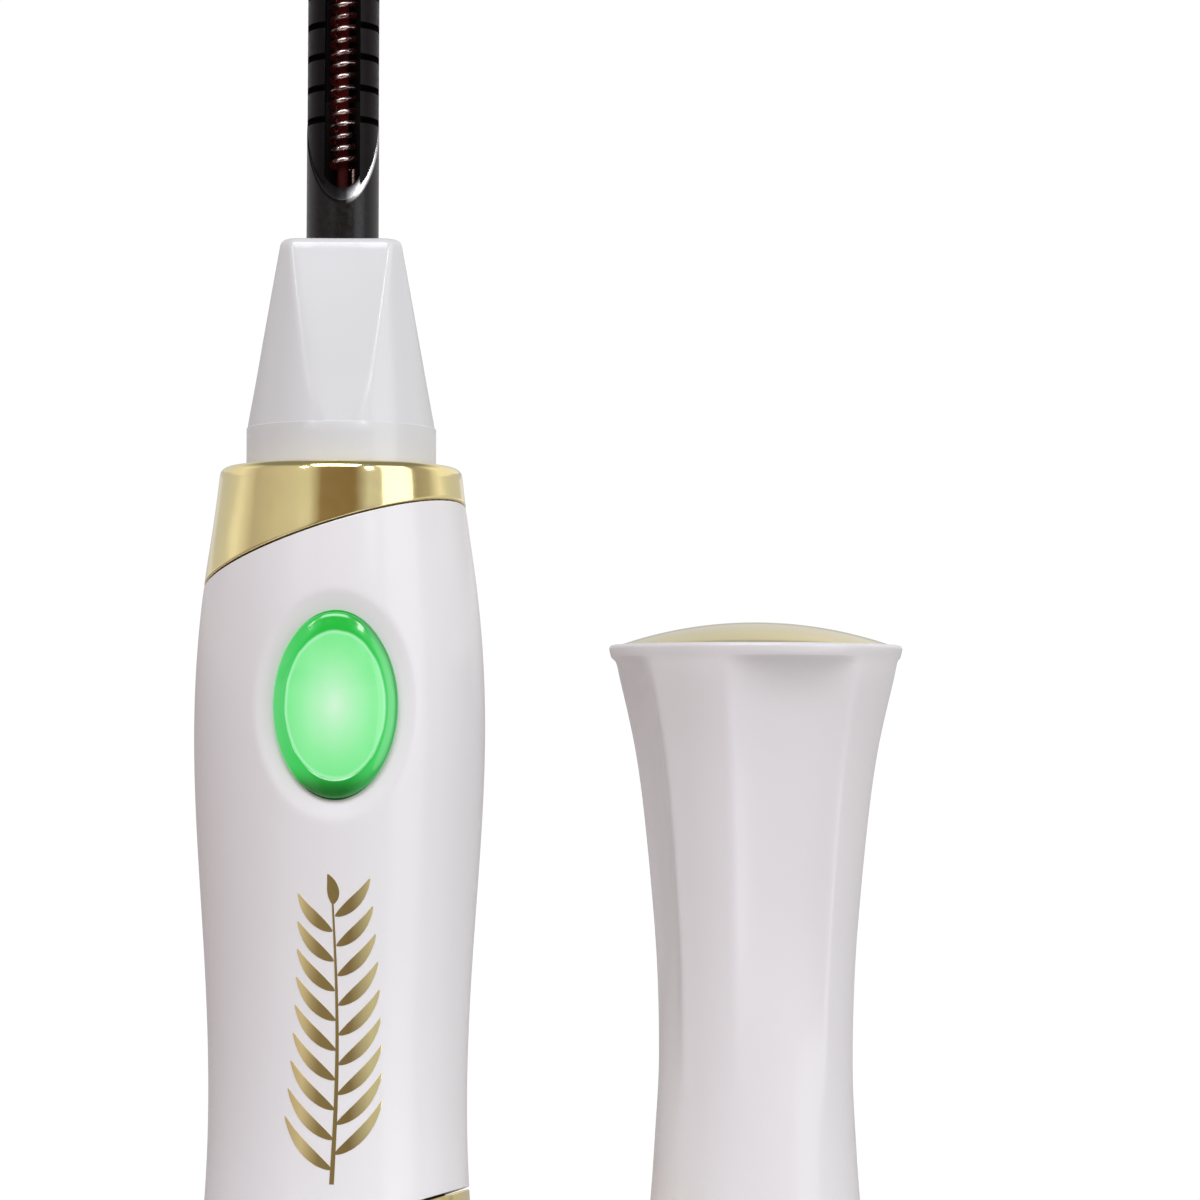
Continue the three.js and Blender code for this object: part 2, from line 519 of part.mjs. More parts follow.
function buildNeck() {
  const [spigotZ, shoulderZ] = SPIGOT_Z;
  const body = turnedSolid([
    [0, spigotZ], [PLUG_R, spigotZ], [PLUG_R, shoulderZ], [NECK_BAND_R, shoulderZ + TOUCH],
    [NECK_BAND_R, NECK_BAND_TOP_Z], [NECK_CONE[0], NECK_BAND_TOP_Z + NECK_BAND_STEP],
    [NECK_CONE[1], NECK_TOP_Z - NECK_TOP_EDGE], [NECK_CONE[1] - NECK_TOP_EDGE, NECK_TOP_Z], [0, NECK_TOP_Z],
  ]);
  const rise = NECK_TOP_Z - NECK_BAND_TOP_Z;
  const lean = (NECK_FACET[0] - NECK_FACET[1]) / rise;
  const [width, depth, spare] = [30, 10, 6];
  const facets = [0, 1, 2, 3].map((turn) => {
    const block = new THREE.BoxGeometry(width, depth, rise + spare)
      .translate(0, -depth / 2 - NECK_FACET[0], (rise + spare) / 2);
    const shear = new THREE.Matrix4().set(1, 0, 0, 0, 0, 1, lean, 0, 0, 0, 1, NECK_BAND_TOP_Z, 0, 0, 0, 1);
    return solidOf(block.applyMatrix4(shear).rotateZ((turn * Math.PI) / 2));
  });
  const [mouth, seatZ] = [NECK_HOLLOW[0][0], NECK_HOLLOW[2][1]];
  const hollow = turnedSolid([
    [0, spigotZ - 1], [mouth, spigotZ - 1], ...NECK_HOLLOW, [BARREL_SEAT_R, seatZ], [BARREL_SEAT_R, NECK_TOP_Z + 1],
    [0, NECK_TOP_Z + 1],
  ]);
  const boardNotch = box(
    [-BOARD_NOTCH.half, -PLUG_R - 1, spigotZ - 1], [BOARD_NOTCH.half, BOARD_NOTCH.y, BOARD_NOTCH.topZ],
  );
  const neck = facets.reduce((shape, facet) => shape.subtract(facet), body).subtract(hollow).subtract(boardNotch);
  add("neck_cone", neck, whitePlastic);

  const [bushLow, flangeTop, bushHigh] = BUSH.z;
  const bush = turned([
    [BARREL_SEAT_R, bushLow], [BUSH.flangeR, bushLow], [BUSH.flangeR, flangeTop], [BUSH.r, flangeTop + BUSH.taper],
    [BUSH.r, bushHigh], [BARREL_SEAT_R, bushHigh], [BARREL_SEAT_R, bushLow],
  ], 28);
  add("heater_bush", bush, insulator);

  for (const [name, side, material] of [["heater_lead_live", 1, redWire], ["heater_lead_return", -1, blackWire]]) {
    const route = smoothPath(LEAD_ROUTE.map(([x, y, z]) => [x * side, y, z]));
    add(name, tubeAlong(route, LEAD_R, 22, 6), material);
  }
}

// ---------- heated head: barrel sleeve, comb, core, coil and tip ----------

const COMB_GAP = 0.45; // between the sleeve's oblique end and the comb
const SPINE_R = BARREL_BORE_R - FIT; // round root of the comb, pushed into the sleeve
const SPINE_BOTTOM_Z = 84;
const TEETH_BOTTOM_Z = 89; // lowest point that the comb's full section reaches
const CHANNEL_BACK_Y = 0.75;
const CHANNEL_TOP_Z = 108.2;
const SLOT_DEPTH_Y = -0.3;
const CORE_Z = [80, 108.9];
const CORE_SOCKET = { r: 0.62, z: [107.2, 109.1] };
const RETURN = { y: 1.4, boreR: 0.4, wireR: 0.2, bottomZ: 76.8, slot: { half: 0.5, y: [-2, 2.05], height: 1.7 } };
const RETURN_TOP = [[1.4, 92], [1.4, 107.1], [1.35, 107.6], [0.85, 107.75], [0.45, 107.75]]; // [y, z] on x = 0
const SENSOR = { r: 0.36, length: 1.2, at: [-1.05, -0.9, 85.6] };
const TIP_SPIGOT_R = 0.8;
const TIP_SOCKET = { r: 1.0, depth: 1.1 };
const TIP_GAP = 0.25;
const TIP_STRAIGHT = 1.2; // height of the tip's straight side above the comb

function buildHead() {
  const bevel = (offset) => {
    const block = new THREE.BoxGeometry(BEYOND, BEYOND, BEYOND).translate(0, 0, BEYOND / 2);
    const shear = new THREE.Matrix4().set(
      1, 0, 0, 0, 0, 1, 0, 0, 0, BEVEL_SLOPE, 1, BEVEL_MID_Z + offset, 0, 0, 0, 1,
    );
    return solidOf(block.applyMatrix4(shear));
  };
  const sleeve = bar(BARREL_R, BARREL_BOTTOM_Z, COMB_TOP_Z, { segments: 32 })
    .subtract(bar(BARREL_BORE_R, BARREL_BOTTOM_Z - 1, COMB_TOP_Z + 1, { segments: 32 }))
    .subtract(bevel(0));
  add("barrel_sleeve", sleeve, blackPlastic);

  const front = COMB_R + 1;
  const below = BARREL_BOTTOM_Z;
  const head = bar(COMB_R, TEETH_BOTTOM_Z - 10, COMB_TOP_Z, { segments: 32 }).intersect(bevel(COMB_GAP));
  let comb = bar(SPINE_R, SPINE_BOTTOM_Z, COMB_TOP_Z - 1, { segments: 28 })
    .add(head)
    .subtract(box([-front, -front, below], [front, CHANNEL_BACK_Y, TEETH_BOTTOM_Z]))
    .subtract(box([-CHANNEL_HALF, -front, below], [CHANNEL_HALF, CHANNEL_BACK_Y, CHANNEL_TOP_Z]))
    .subtract(box(
      [-RETURN.slot.half, RETURN.slot.y[0], CHANNEL_TOP_Z - RETURN.slot.height],
      [RETURN.slot.half, RETURN.slot.y[1], CHANNEL_TOP_Z],
    ))
    .subtract(bar(RETURN.boreR, below, CHANNEL_TOP_Z, { y: RETURN.y, segments: 12 }))
    .subtract(bar(CORE_SOCKET.r, ...CORE_SOCKET.z, { y: COIL_Y, segments: 16 }))
    .subtract(bar(TIP_SOCKET.r, COMB_TOP_Z - TIP_SOCKET.depth, COMB_TOP_Z + 1, { segments: 16 }));
  for (let i = 0; i < TOOTH_SLOTS; i++) {
    const z = FIRST_SLOT_Z + i * TOOTH_PITCH;
    comb = comb.subtract(box([-front, -front, z - SLOT_WIDTH / 2], [front, SLOT_DEPTH_Y, z + SLOT_WIDTH / 2]));
  }
  add("comb_frame", comb, blackPlastic);

  add("heater_core", bar(CORE_R, ...CORE_Z, { y: COIL_Y, segments: 12 }), ceramic);
  const coil = new Helix({
    r0: COIL_R, z0: COIL_BOTTOM_Z, pitch: COIL_PITCH, turns: COIL_TURNS, y: COIL_Y, tail: COIL_TAIL,
  });
  add("heating_coil", tubeAlong(coil, COIL_WIRE_R, COIL_TURNS * 7 + 12, 4), heaterWire);

  const returnPath = smoothPath([[0, RETURN.y, RETURN.bottomZ], ...RETURN_TOP.map(([y, z]) => [0, y, z])]);
  add("coil_return_wire", tubeAlong(returnPath, RETURN.wireR, 18, 6), steel);

  const sensor = new THREE.CapsuleGeometry(SENSOR.r, SENSOR.length, 4, 10).rotateX(Math.PI / 2);
  add("temperature_sensor", sensor.translate(...SENSOR.at), insulator);

  const straightTop = COMB_TOP_Z + TIP_STRAIGHT;
  const rounding = new THREE.EllipseCurve(0, straightTop, COMB_R, TIP_Z - straightTop, 0, Math.PI / 2)
    .getPoints(6)
    .map((p, i) => [i === 6 ? 0 : p.x, p.y]);
  const spigotZ = COMB_TOP_Z - TIP_SOCKET.depth + FIT;
  const tip = turned([
    [0, spigotZ], [TIP_SPIGOT_R, spigotZ], [TIP_SPIGOT_R, COMB_TOP_Z + TIP_GAP], [COMB_R, COMB_TOP_Z + TIP_GAP],
    ...rounding,
  ], 24);
  add("tip_cap", tip, blackPlastic);
}

// ---------- cap, standing beside the wand, mouth down ----------

const FLUTE_FADE = [16, 34]; // heights between which the flutes grow out of the round mouth
const FLUTE_RUN_OUT = [48.8, 51.6]; // and between which they end under the rim's round lip
const MOUTH_R = { outer: 8.6, inner: 8.05 };
const CAP_RIM_R = 10.85;
const CAP_BORE = [ // [radius, height] from the mouth up, with the liner's seat and its step
  [8.05, 0.4], [7.9, 3.9], [6.8, 16.4], [6.05, 16.4], [5.9, 17.6],
];
const CAP_BORE_STRAIGHT_Z = 20;
const CAP_HOLLOW = [[6.4, 38.5], [6.9, 38.5], [8.4, 48.5], [8.9, 52], [6.4, 52], [6.4, 38.5]]; // keeps walls even
const DOME_SEAT = { r: 10.5, z: 51.1, landR: 6.5, landZ: 51 };
const LINER = [[7.85, 0.3], [7.7, 3.9], [6.62, 16.1], [6.1, 16.1]];
const LINER_GRIP = { r: NECK_BAND_R + 0.15, z: [0.3, 3.5] };
const DOME = { r: 10.34, rise: 1.75, bottomZ: 51.35 };

// Share of a flute's full depth at a height: none at the mouth, none in the rim's round lip.
const fluteShare = (z) => smoothstep(...FLUTE_FADE, z) * (1 - smoothstep(...FLUTE_RUN_OUT, z));

// Radius of the cap's outer skin: the lands keep the round outline, the flutes are flats.
function capRadius(radius, angle, z) {
  const period = (2 * Math.PI) / FLUTE_COUNT;
  const offset = angle - FLUTE_CENTRE - period * Math.round((angle - FLUTE_CENTRE) / period);
  if (Math.abs(offset) >= FLUTE_HALF) return radius;
  const flat = Math.cos(FLUTE_HALF) / Math.cos(offset);
  return radius * (1 - fluteShare(z) * (1 - flat));
}

function buildCap() {
  const outline = [
    [0, 0], [MOUTH_R.outer, 0], ...smoothOutline(CAP_OUTLINE, 12), [CAP_RIM_R, CAP_RIM_Z], [0, CAP_RIM_Z],
  ];
  const bore = turnedSolid([
    [0, -1], [MOUTH_R.inner, -1], ...CAP_BORE, [CAP_BORE_R, CAP_BORE_STRAIGHT_Z], [CAP_BORE_R, CAP_ROOF_Z],
    [0, CAP_ROOF_Z],
  ]);
  const domeSeat = bar(DOME_SEAT.r, DOME_SEAT.z, CAP_RIM_Z + 1, { segments: SEGMENTS });
  const landTrim = bar(DOME_SEAT.landR, DOME_SEAT.landZ, CAP_RIM_Z, { segments: SEGMENTS });
  const shell = solidOf(reshaped(turned(outline, 44), capRadius))
    .subtract(bore)
    .subtract(domeSeat)
    .subtract(turnedSolid(CAP_HOLLOW))
    .subtract(landTrim);
  const inPlace = (shape) => (shape.isBufferGeometry ? shape : geometryOf(shape)).translate(CAP_X, 0, 0);
  add("cap_shell", inPlace(shell), whitePlastic);

  const { r: gripR, z: [gripLow, gripHigh] } = LINER_GRIP;
  const liner = turned([[gripR, gripLow], ...LINER, [gripR, gripHigh], [gripR, gripLow]]);
  add("cap_liner", inPlace(liner), insulator);

  const sphereR = (DOME.r * DOME.r + DOME.rise * DOME.rise) / (2 * DOME.rise);
  const half = Math.asin(DOME.r / sphereR);
  const steps = 5;
  const arc = Array.from({ length: steps + 1 }, (_, i) => {
    const angle = half * (1 - i / steps);
    return [sphereR * Math.sin(angle), CAP_RIM_Z + DOME.rise - sphereR * (1 - Math.cos(angle))];
  });
  add("cap_dome", inPlace(turned([[0, DOME.bottomZ], [DOME.r, DOME.bottomZ], ...arc])), goldPlating);
}

buildBase();
buildBattery();
buildSleeve();
buildCollar();
buildChassis();
buildElectronics();
buildButton();
buildNeck();
buildHead();
buildCap();

export default group;
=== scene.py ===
# Looks of a battery-heated eyelash curler and its cap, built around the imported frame.
#
# Lengths are millimetres and make() turns them into metres. +Z is up and the front faces -Y.
# Angles round an axis are counted from the front towards +X.
import json
from math import acos, asin, atan2, cos, hypot, pi, radians, sin, sqrt, tan

import bmesh
import bpy
import numpy as np
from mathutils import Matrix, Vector


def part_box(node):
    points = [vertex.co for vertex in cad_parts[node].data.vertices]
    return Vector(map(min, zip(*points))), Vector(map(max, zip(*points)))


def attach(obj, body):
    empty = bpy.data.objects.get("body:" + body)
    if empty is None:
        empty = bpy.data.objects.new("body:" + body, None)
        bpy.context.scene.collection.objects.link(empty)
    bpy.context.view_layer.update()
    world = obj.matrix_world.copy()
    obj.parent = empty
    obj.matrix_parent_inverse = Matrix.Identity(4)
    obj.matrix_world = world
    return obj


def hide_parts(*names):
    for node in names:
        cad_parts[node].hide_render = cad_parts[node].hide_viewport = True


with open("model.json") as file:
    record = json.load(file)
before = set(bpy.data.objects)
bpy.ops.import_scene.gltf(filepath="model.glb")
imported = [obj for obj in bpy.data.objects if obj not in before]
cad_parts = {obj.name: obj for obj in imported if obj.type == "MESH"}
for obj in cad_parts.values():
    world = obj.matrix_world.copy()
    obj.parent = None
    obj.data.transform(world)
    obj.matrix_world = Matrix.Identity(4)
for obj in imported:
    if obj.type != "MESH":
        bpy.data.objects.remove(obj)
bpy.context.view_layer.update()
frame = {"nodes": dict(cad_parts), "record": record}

MM = 0.001


def node_box(node):
    """Lowest and highest corner of a CAD node, in millimetres."""
    return tuple(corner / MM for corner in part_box(node))


# ---------- sizes ----------

COLUMNS = 192  # steps round the large bodies
SHARP_ANGLE = radians(38)

HANDLE_OUTLINE = [  # height, radius
    (0.8, 11.05), (3, 10.82), (6, 10.42), (10.3, 10.0), (14.5, 9.79), (20.8, 9.77), (29.9, 10.2),
    (39, 10.8), (46, 11.0), (52, 10.78), (57.2, 10.25), (61.7, 9.6), (64.8, 9.22), (66.5, 9.04),
]
BORE_R = 8.3
SLANT_RIGHT = 0.312  # rise of both slanted joint lines per millimetre towards +X
SLANT_FRONT = 0.158  # and towards the front
LOWER_SLANT_Z = 8.3
UPPER_SLANT_Z = 59.65
SEAM = 0.16  # width of the dark joint lines
COLLAR_TOP_Z = node_box("collar_ring")[1].z
COLLAR_LIP_R = 7.4
SHELF_Z = 64.4  # underside of the collar's lip
FOOT_R = 11.02  # of the gold base, before its edge is rounded
BASE_FLOOR_Z = 1

PLUG_R = 8.1  # inner moulding that the handle is pushed over
PLUG_Z = (1.25, 14.8)
GROOVE_R = 7.1  # for the seal
GROOVE_Z = (12.5, 13.9)
SEAL_R = 7.7
SEAL_WIRE_R = 0.5
WELL_R = 5.45  # round the cell's foot
WELL_FLOOR_Z = 6
SEAT_R = 4.3  # round the spring
SEAT_FLOOR_Z = 2.3
SPRING_RADII = (3.3, 1.9)
SPRING_TURNS = 5.2
SPRING_WIRE_R = 0.28

NECK_TOP_Z = node_box("neck_cone")[1].z
NECK_BOTTOM_Z = node_box("neck_cone")[0].z
NECK_SPIGOT_R = 8.1
NECK_SHOULDER_Z = 64.1  # top of the spigot inside the handle
NECK_BAND_R = 7.2
NECK_BAND_Z = 65  # foot of the band
NECK_BAND_TOP_Z = 68.6
NECK_CONE = (7.15, 5.9)  # round radius at the band and at the top
NECK_SAG = 0.3  # how far the round lands sink below a straight cone
NECK_FLAT = (7.08, 4.58)  # distance of the flats from the axis, at the band and at the top
NECK_SOFT = 0.3  # reach of the softening of the edges between flats and lands
NECK_EDGE = 0.5  # rounding at the top
NECK_SEAT = (3.95, 80.9)  # radius and height of the shelf that holds the barrel
NECK_HOLLOW = [(5.7, 68.6), (6.0, 66.5), (6.9, 65)]  # radius and height, from that shelf down

BARREL_R = 2.75
BARREL_BORE_R = 2.2
BARREL_BOTTOM_Z = node_box("barrel_sleeve")[0].z
BEVEL_MID_Z = 91.7  # height of the sleeve's oblique end on the axis
BEVEL_SLOPE = 2.185  # its rise towards +Y
COMB_R = 2.72
COMB_GAP = 0.45  # clearance above the oblique end
COMB_FOOT_Z = 80  # below the oblique end all round, so that the comb starts on it
COMB_TOP_Z = node_box("comb_frame")[1].z
CHANNEL_HALF = 1.35
CHANNEL_BACK_Y = 0.75
CHANNEL_TOP_Z = 108.2
SLOT_DEPTH_Y = -0.3
SLOT_WIDTH = 0.5
SLOTS = [91.9 + 2.4 * i for i in range(7)]
SPINE_R = 2.0  # root of the comb inside the barrel
SPINE_Z = (84, 88)
TIP_Z = node_box("tip_cap")[1].z
TIP_GAP = 0.25
TIP_STRAIGHT = 1.2  # height of the straight part under the tip's round end

COIL_Y = -0.5
COIL_R = 0.83
WIRE_R = 0.21
COIL_BOTTOM_Z = 88.3
COIL_PITCH = 0.915
COIL_TURNS = 21
COIL_TAIL = (10, 0.6)  # where the straight lead of the coil starts and ends, below the first turn
CORE_R = 0.42

BUTTON = (4.55, 6.75)  # half width and half height of the oval
BUTTON_Z = sum(corner.z for corner in node_box("button_lens")) / 2
BUTTON_GAP = 0.12
BUTTON_FLANGE = 0.45
BUTTON_BACK_Y = node_box("button_lens")[1].y
DISH = (5.9, 8.45)  # half width and half height of the recess round the button
DISH_SLOPE = 0.48
DISH_SOFT = 0.1  # reach of the softening of its edge
DISH_FADE = (-1.2, 0.4)  # where it starts and is full, inwards from its edge

CAP_X = sum(corner.x for corner in node_box("cap_dome")) / 2
CAP_RIM_Z = node_box("cap_shell")[1].z
CAP_OUTLINE = [
    (0, 8.93), (3.4, 8.55), (7.2, 8.18), (10.3, 7.88), (13.3, 7.65), (17, 7.46), (20.8, 7.42), (25, 7.5),
    (29, 7.68), (33, 8.0), (39, 8.6), (45.1, 9.5), (48.6, 10.3), (50.4, 10.7), (51.4, 10.9), (52, 11.07),
    (53, 11.12),
]
CAP_MOUTH_R = 8.05
CAP_LIP = 0.28  # rounding of the lip
CAP_POCKET_R = 10.5  # recess for the gold disc
CAP_POCKET_Z = 51.1
CAP_ROOF_Z = 49.8
CAP_BORE = [  # radius, height and fillet, from the roof down to the mouth
    (5.2, CAP_ROOF_Z, 0.3), (5.2, 20, 0), (5.9, 17.6, 0), (6.05, 16.4, 0), (6.8, 16.4, 0), (7.9, 3.9, 0),
    (CAP_MOUTH_R, 0.4, 0),
]
CAP_GRIP = [  # radius, height and fillet of the liner
    (7.35, 0.3, 0.1), (7.85, 0.3, 0.05), (7.7, 3.9, 0), (6.62, 16.1, 0.1), (6.1, 16.1, 0.1), (7.35, 3.5, 0),
]
FLUTES = 4
FLUTE_CENTRE = radians(11)
FLUTE_HALF = radians(27.75)
FLUTE_TOP_Z = 51.35
FLUTE_RUN_OUT_Z = 45.5  # where the flutes start to run out
FLUTE_FADE_Z = (14, 33)  # where they fade in, above the mouth
FLUTE_SCOOP = 0.32  # how far they are hollowed below flat
FLUTE_SOFT = (0.02, 0.28)  # softening of their edges, where they have faded and where they are full
DOME_R = 10.34
DOME_FOOT_Z = 51.3
DOME_TOP_Z = node_box("cap_dome")[1].z

CELL_Y = sum(corner.y for corner in node_box("battery_cell")) / 2
CELL_R = 5.25


# ---------- mesh tools ----------

def smooth_curve(knots):
    """The natural cubic spline through (position, value) knots, as a function."""
    at, value = np.array(knots, float).T
    step = np.diff(at)
    count = len(at)
    system = np.zeros((count, count))
    right = np.zeros(count)
    system[0, 0] = system[-1, -1] = 1
    for i in range(1, count - 1):
        system[i, i - 1:i + 2] = step[i - 1], 2 * (step[i - 1] + step[i]), step[i]
        right[i] = 6 * ((value[i + 1] - value[i]) / step[i] - (value[i] - value[i - 1]) / step[i - 1])
    bend = np.linalg.solve(system, right)

    def curve(x):
        i = int(min(max(np.searchsorted(at, x) - 1, 0), count - 2))
        a, b = (at[i + 1] - x) / step[i], (x - at[i]) / step[i]
        cubic = (a ** 3 - a) * bend[i] + (b ** 3 - b) * bend[i + 1]
        return float(a * value[i] + b * value[i + 1] + cubic * step[i] ** 2 / 6)

    return curve


def smoothstep(low, high, x):
    t = min(max((x - low) / (high - low), 0), 1)
    return t * t * (3 - 2 * t)


def lerp(a, b, t):
    return a + (b - a) * t


def spread(low, high, count):
    """count + 1 evenly spaced values."""
    return [lerp(low, high, i / count) for i in range(count + 1)]


def full_turn(count):
    """Evenly spaced angles all the way round."""
    return spread(0, 2 * pi, count)[:-1]


def flat_arc(low, high, radius, count):
    """Points (x, y) on an arc round the axis, between two angles from the front."""
    return [(radius * sin(angle), -radius * cos(angle)) for angle in spread(low, high, count)]


def around(angle, radius, z, x=0.0, y=0.0):
    """The point at an angle and radius round a vertical axis."""
    return (x + radius * sin(angle), y - radius * cos(angle), z)


def rounded(corners, steps=4):
    """An outline of (r, z, fillet) corners, with each fillet turned into an arc."""
    outline = []
    for i, (r, z, fillet) in enumerate(corners):
        if not fillet:
            outline.append((r, z))
            continue
        here = Vector((r, z))
        back = (Vector(corners[i - 1][:2]) - here).normalized()
        on = (Vector(corners[(i + 1) % len(corners)][:2]) - here).normalized()
        half = back.angle(on) / 2
        reach, turn = fillet / tan(half), pi - 2 * half
        centre = here + (back + on).normalized() * fillet / sin(half)
        start, end = here + back * reach - centre, here + on * reach - centre
        for k in range(steps + 1):
            t = k / steps
            spoke = start * sin((1 - t) * turn) + end * sin(t * turn)
            outline.append(tuple(centre + spoke / sin(turn)))
    return outline


def skin(rings, closed=True):
    """Points and quads over rings of equal length; closed joins the last ring to the first."""
    n = len(rings[0])
    points = [p for ring in rings for p in ring]
    faces = []
    for i in range(len(rings) - (0 if closed else 1)):
        a, b = i * n, (i + 1) % len(rings) * n
        faces += [(a + j, a + (j + 1) % n, b + (j + 1) % n, b + j) for j in range(n)]
    return points, faces


def loft(rings):
    """The open skin over rings, with a face at both ends."""
    points, faces = skin(rings, closed=False)
    n = len(rings[0])
    return points, faces + [tuple(range(n))[::-1], tuple(range(len(points) - n, len(points)))]


def joined(shapes):
    """The points and faces of several shapes as one shape."""
    points, faces = [], []
    for more_points, more_faces in shapes:
        start = len(points)
        points += more_points
        faces += [tuple(i + start for i in face) for face in more_faces]
    return points, faces


def turned(outline_at, columns=COLUMNS, x=0.0, y=0.0):
    """Points and quads of a closed (r, z) outline turned about a vertical axis.
    outline_at gives the outline at an angle, so it may change on the way round."""
    angles = full_turn(columns)
    outlines = [outline_at(angle) for angle in angles]
    rings = [
        [around(angle, *outline[k], x, y) for angle, outline in zip(angles, outlines)]
        for k in range(len(outlines[0]))
    ]
    return skin(rings)


def lathe(corners, columns=COLUMNS, x=0.0, y=0.0):
    """Points and quads of (r, z, fillet) corners turned about a vertical axis."""
    outline = rounded(corners)
    return turned(lambda angle: outline, columns, x, y)


def swept(path, radius, sides):
    """A round wire along a path, carried without twist, with closed ends."""
    path = [Vector(p) for p in path]
    rings, normal = [], None
    for i, here in enumerate(path):
        along = (path[min(i + 1, len(path) - 1)] - path[max(i - 1, 0)]).normalized()
        if normal is None:
            normal = along.orthogonal()
        normal = (normal - along * normal.dot(along)).normalized()
        side = along.cross(normal)
        ring = [here + radius * (normal * cos(a) + side * sin(a)) for a in full_turn(sides)]
        if i in (0, len(path) - 1):
            rings += [ring, [here] * sides] if i else [[here] * sides, ring]
        else:
            rings.append(ring)
    return skin(rings, closed=False)


def add_object(name, data):
    thing = bpy.data.objects.new(name, data)
    bpy.context.scene.collection.objects.link(thing)
    return thing


def make(name, shape, body, slot, replaces=(), bevel=0.0, finish=None):
    """Makes one piece from points and faces in millimetres, and hangs it on its CAD body."""
    points, faces = shape
    mesh = bpy.data.meshes.new(name)
    mesh.from_pydata([Vector(p) * MM for p in points], [], faces)
    work = bmesh.new()
    work.from_mesh(mesh)
    bmesh.ops.remove_doubles(work, verts=work.verts, dist=2e-7)
    bmesh.ops.dissolve_degenerate(work, edges=work.edges, dist=1e-8)
    bmesh.ops.recalc_face_normals(work, faces=work.faces)
    work.to_mesh(mesh)
    work.free()
    mesh.shade_smooth()
    mesh.set_sharp_from_angle(angle=SHARP_ANGLE)
    mesh.materials.append(FINISHES[finish or slot])
    piece = add_object(name, mesh)
    if bevel:
        edge = piece.modifiers.new("soft_edges", "BEVEL")
        edge.width, edge.segments, edge.angle_limit = bevel * MM, 2, radians(30)
        edge.use_clamp_overlap = True
    shading = piece.modifiers.new("even_shading", "WEIGHTED_NORMAL")
    shading.keep_sharp = True
    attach(piece, body)
    if replaces:
        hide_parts(*replaces)


# ---------- finishes ----------

class Nodes:
    """A node tree, with short ways to add to it. A value may be another node's output."""

    def __init__(self, tree):
        self.tree = tree

    def feed(self, value, socket):
        if isinstance(value, bpy.types.NodeSocket):
            self.tree.links.new(value, socket)
        else:
            socket.default_value = value

    def new(self, kind, *inputs, **values):
        node = self.tree.nodes.new("ShaderNode" + kind)
        for key, value in values.items():
            if key in node.inputs:
                self.feed(value, node.inputs[key])
            else:
                setattr(node, key, value)
        for socket, value in zip(node.inputs, inputs):
            self.feed(value, socket)
        return node

    def math(self, operation, *inputs, **values):
        return self.new("Math", *inputs, operation=operation, **values).outputs["Value"]

    def vector(self, operation, *inputs):
        node = self.new("VectorMath", *inputs, operation=operation)
        return node.outputs["Value" if operation == "LENGTH" else "Vector"]

    def split(self, vector):
        return self.new("SeparateXYZ", vector).outputs

    def ramp(self, fac, stops):
        """A colour ramp over fac, with (position, colour) stops."""
        ramp = self.new("ValToRGB", fac)
        elements = ramp.color_ramp.elements
        elements[0].position, elements[0].color = stops[0][0], (*stops[0][1], 1)
        elements[1].position, elements[1].color = stops[-1][0], (*stops[-1][1], 1)
        for position, color in stops[1:-1]:
            elements.new(position).color = (*color, 1)
        return ramp.outputs["Color"]

    def range(self, fac, low, high, source=(0.35, 0.65)):
        return self.new("MapRange", fac, *source, low, high).outputs["Result"]

    def mix(self, fac, first, second):
        node = self.new("Mix", fac, data_type="RGBA")
        self.feed(first, node.inputs[6])
        self.feed(second, node.inputs[7])
        return node.outputs[2]


class Finish(Nodes):
    """A Principled material with its node tree, and helpers that give it its surface detail."""

    def __init__(self, name, color, roughness, metallic=0.0, **sockets):
        self.name = name
        self.material = bpy.data.materials.new(name)
        self.material.use_nodes = True
        super().__init__(self.material.node_tree)
        self.shader = self.tree.nodes["Principled BSDF"]
        self.color = color
        self.place = self.new("TexCoord").outputs["Object"]
        values = {"Base Color": (*color, 1), "Roughness": roughness, "Metallic": metallic, **sockets}
        for socket, value in values.items():
            self.into(value, socket.replace("_", " "))

    def noise(self, lump, stretch=(1, 1, 1), detail=3.0):
        """Noise with lumps of about the given size in millimetres, drawn out along some axes."""
        mapping = self.new("Mapping", self.place, vector_type="TEXTURE")
        mapping.inputs["Scale"].default_value = stretch
        scale = 1 / (lump * MM)
        texture = self.new("TexNoise", mapping.outputs["Vector"], Scale=scale, Detail=detail, Roughness=0.55)
        return texture.outputs["Fac"]

    def into(self, value, socket):
        self.feed(value, self.shader.inputs[socket])

    def vary_color(self, fac, amount):
        """The base colour drifts darker and lighter by a share of itself."""
        low, high = ([c * (1 + s * amount) for c in self.color] for s in (-1, 1))
        self.into(self.ramp(fac, [(0.3, low), (0.7, high)]), "Base Color")

    def vary_roughness(self, fac, low, high):
        self.into(self.range(fac, low, high), "Roughness")

    def bumps(self, *layers):
        """Bump from (fac, height in millimetres) layers, one over the other."""
        below = None
        for fac, height in layers:
            bump = self.new("Bump", Height=fac, Distance=height * MM, Strength=1.0)
            if below:
                self.feed(below, bump.inputs["Normal"])
            below = bump.outputs["Normal"]
        self.into(below, "Normal")


def white_plastic(name, color):
    """Glossy white moulding: faint flow tint and a very slight surface ripple."""
    finish = Finish(name, color, 0.2, IOR=1.5, Coat_Weight=0.1, Coat_Roughness=0.04)
    finish.vary_color(finish.noise(7, (1, 1, 2)), 0.008)
    finish.vary_roughness(finish.noise(3, (1, 1, 1.5), 2), 0.19, 0.23)
    finish.bumps((finish.noise(3.5, (1, 1, 2), 1), 0.004))
    return finish


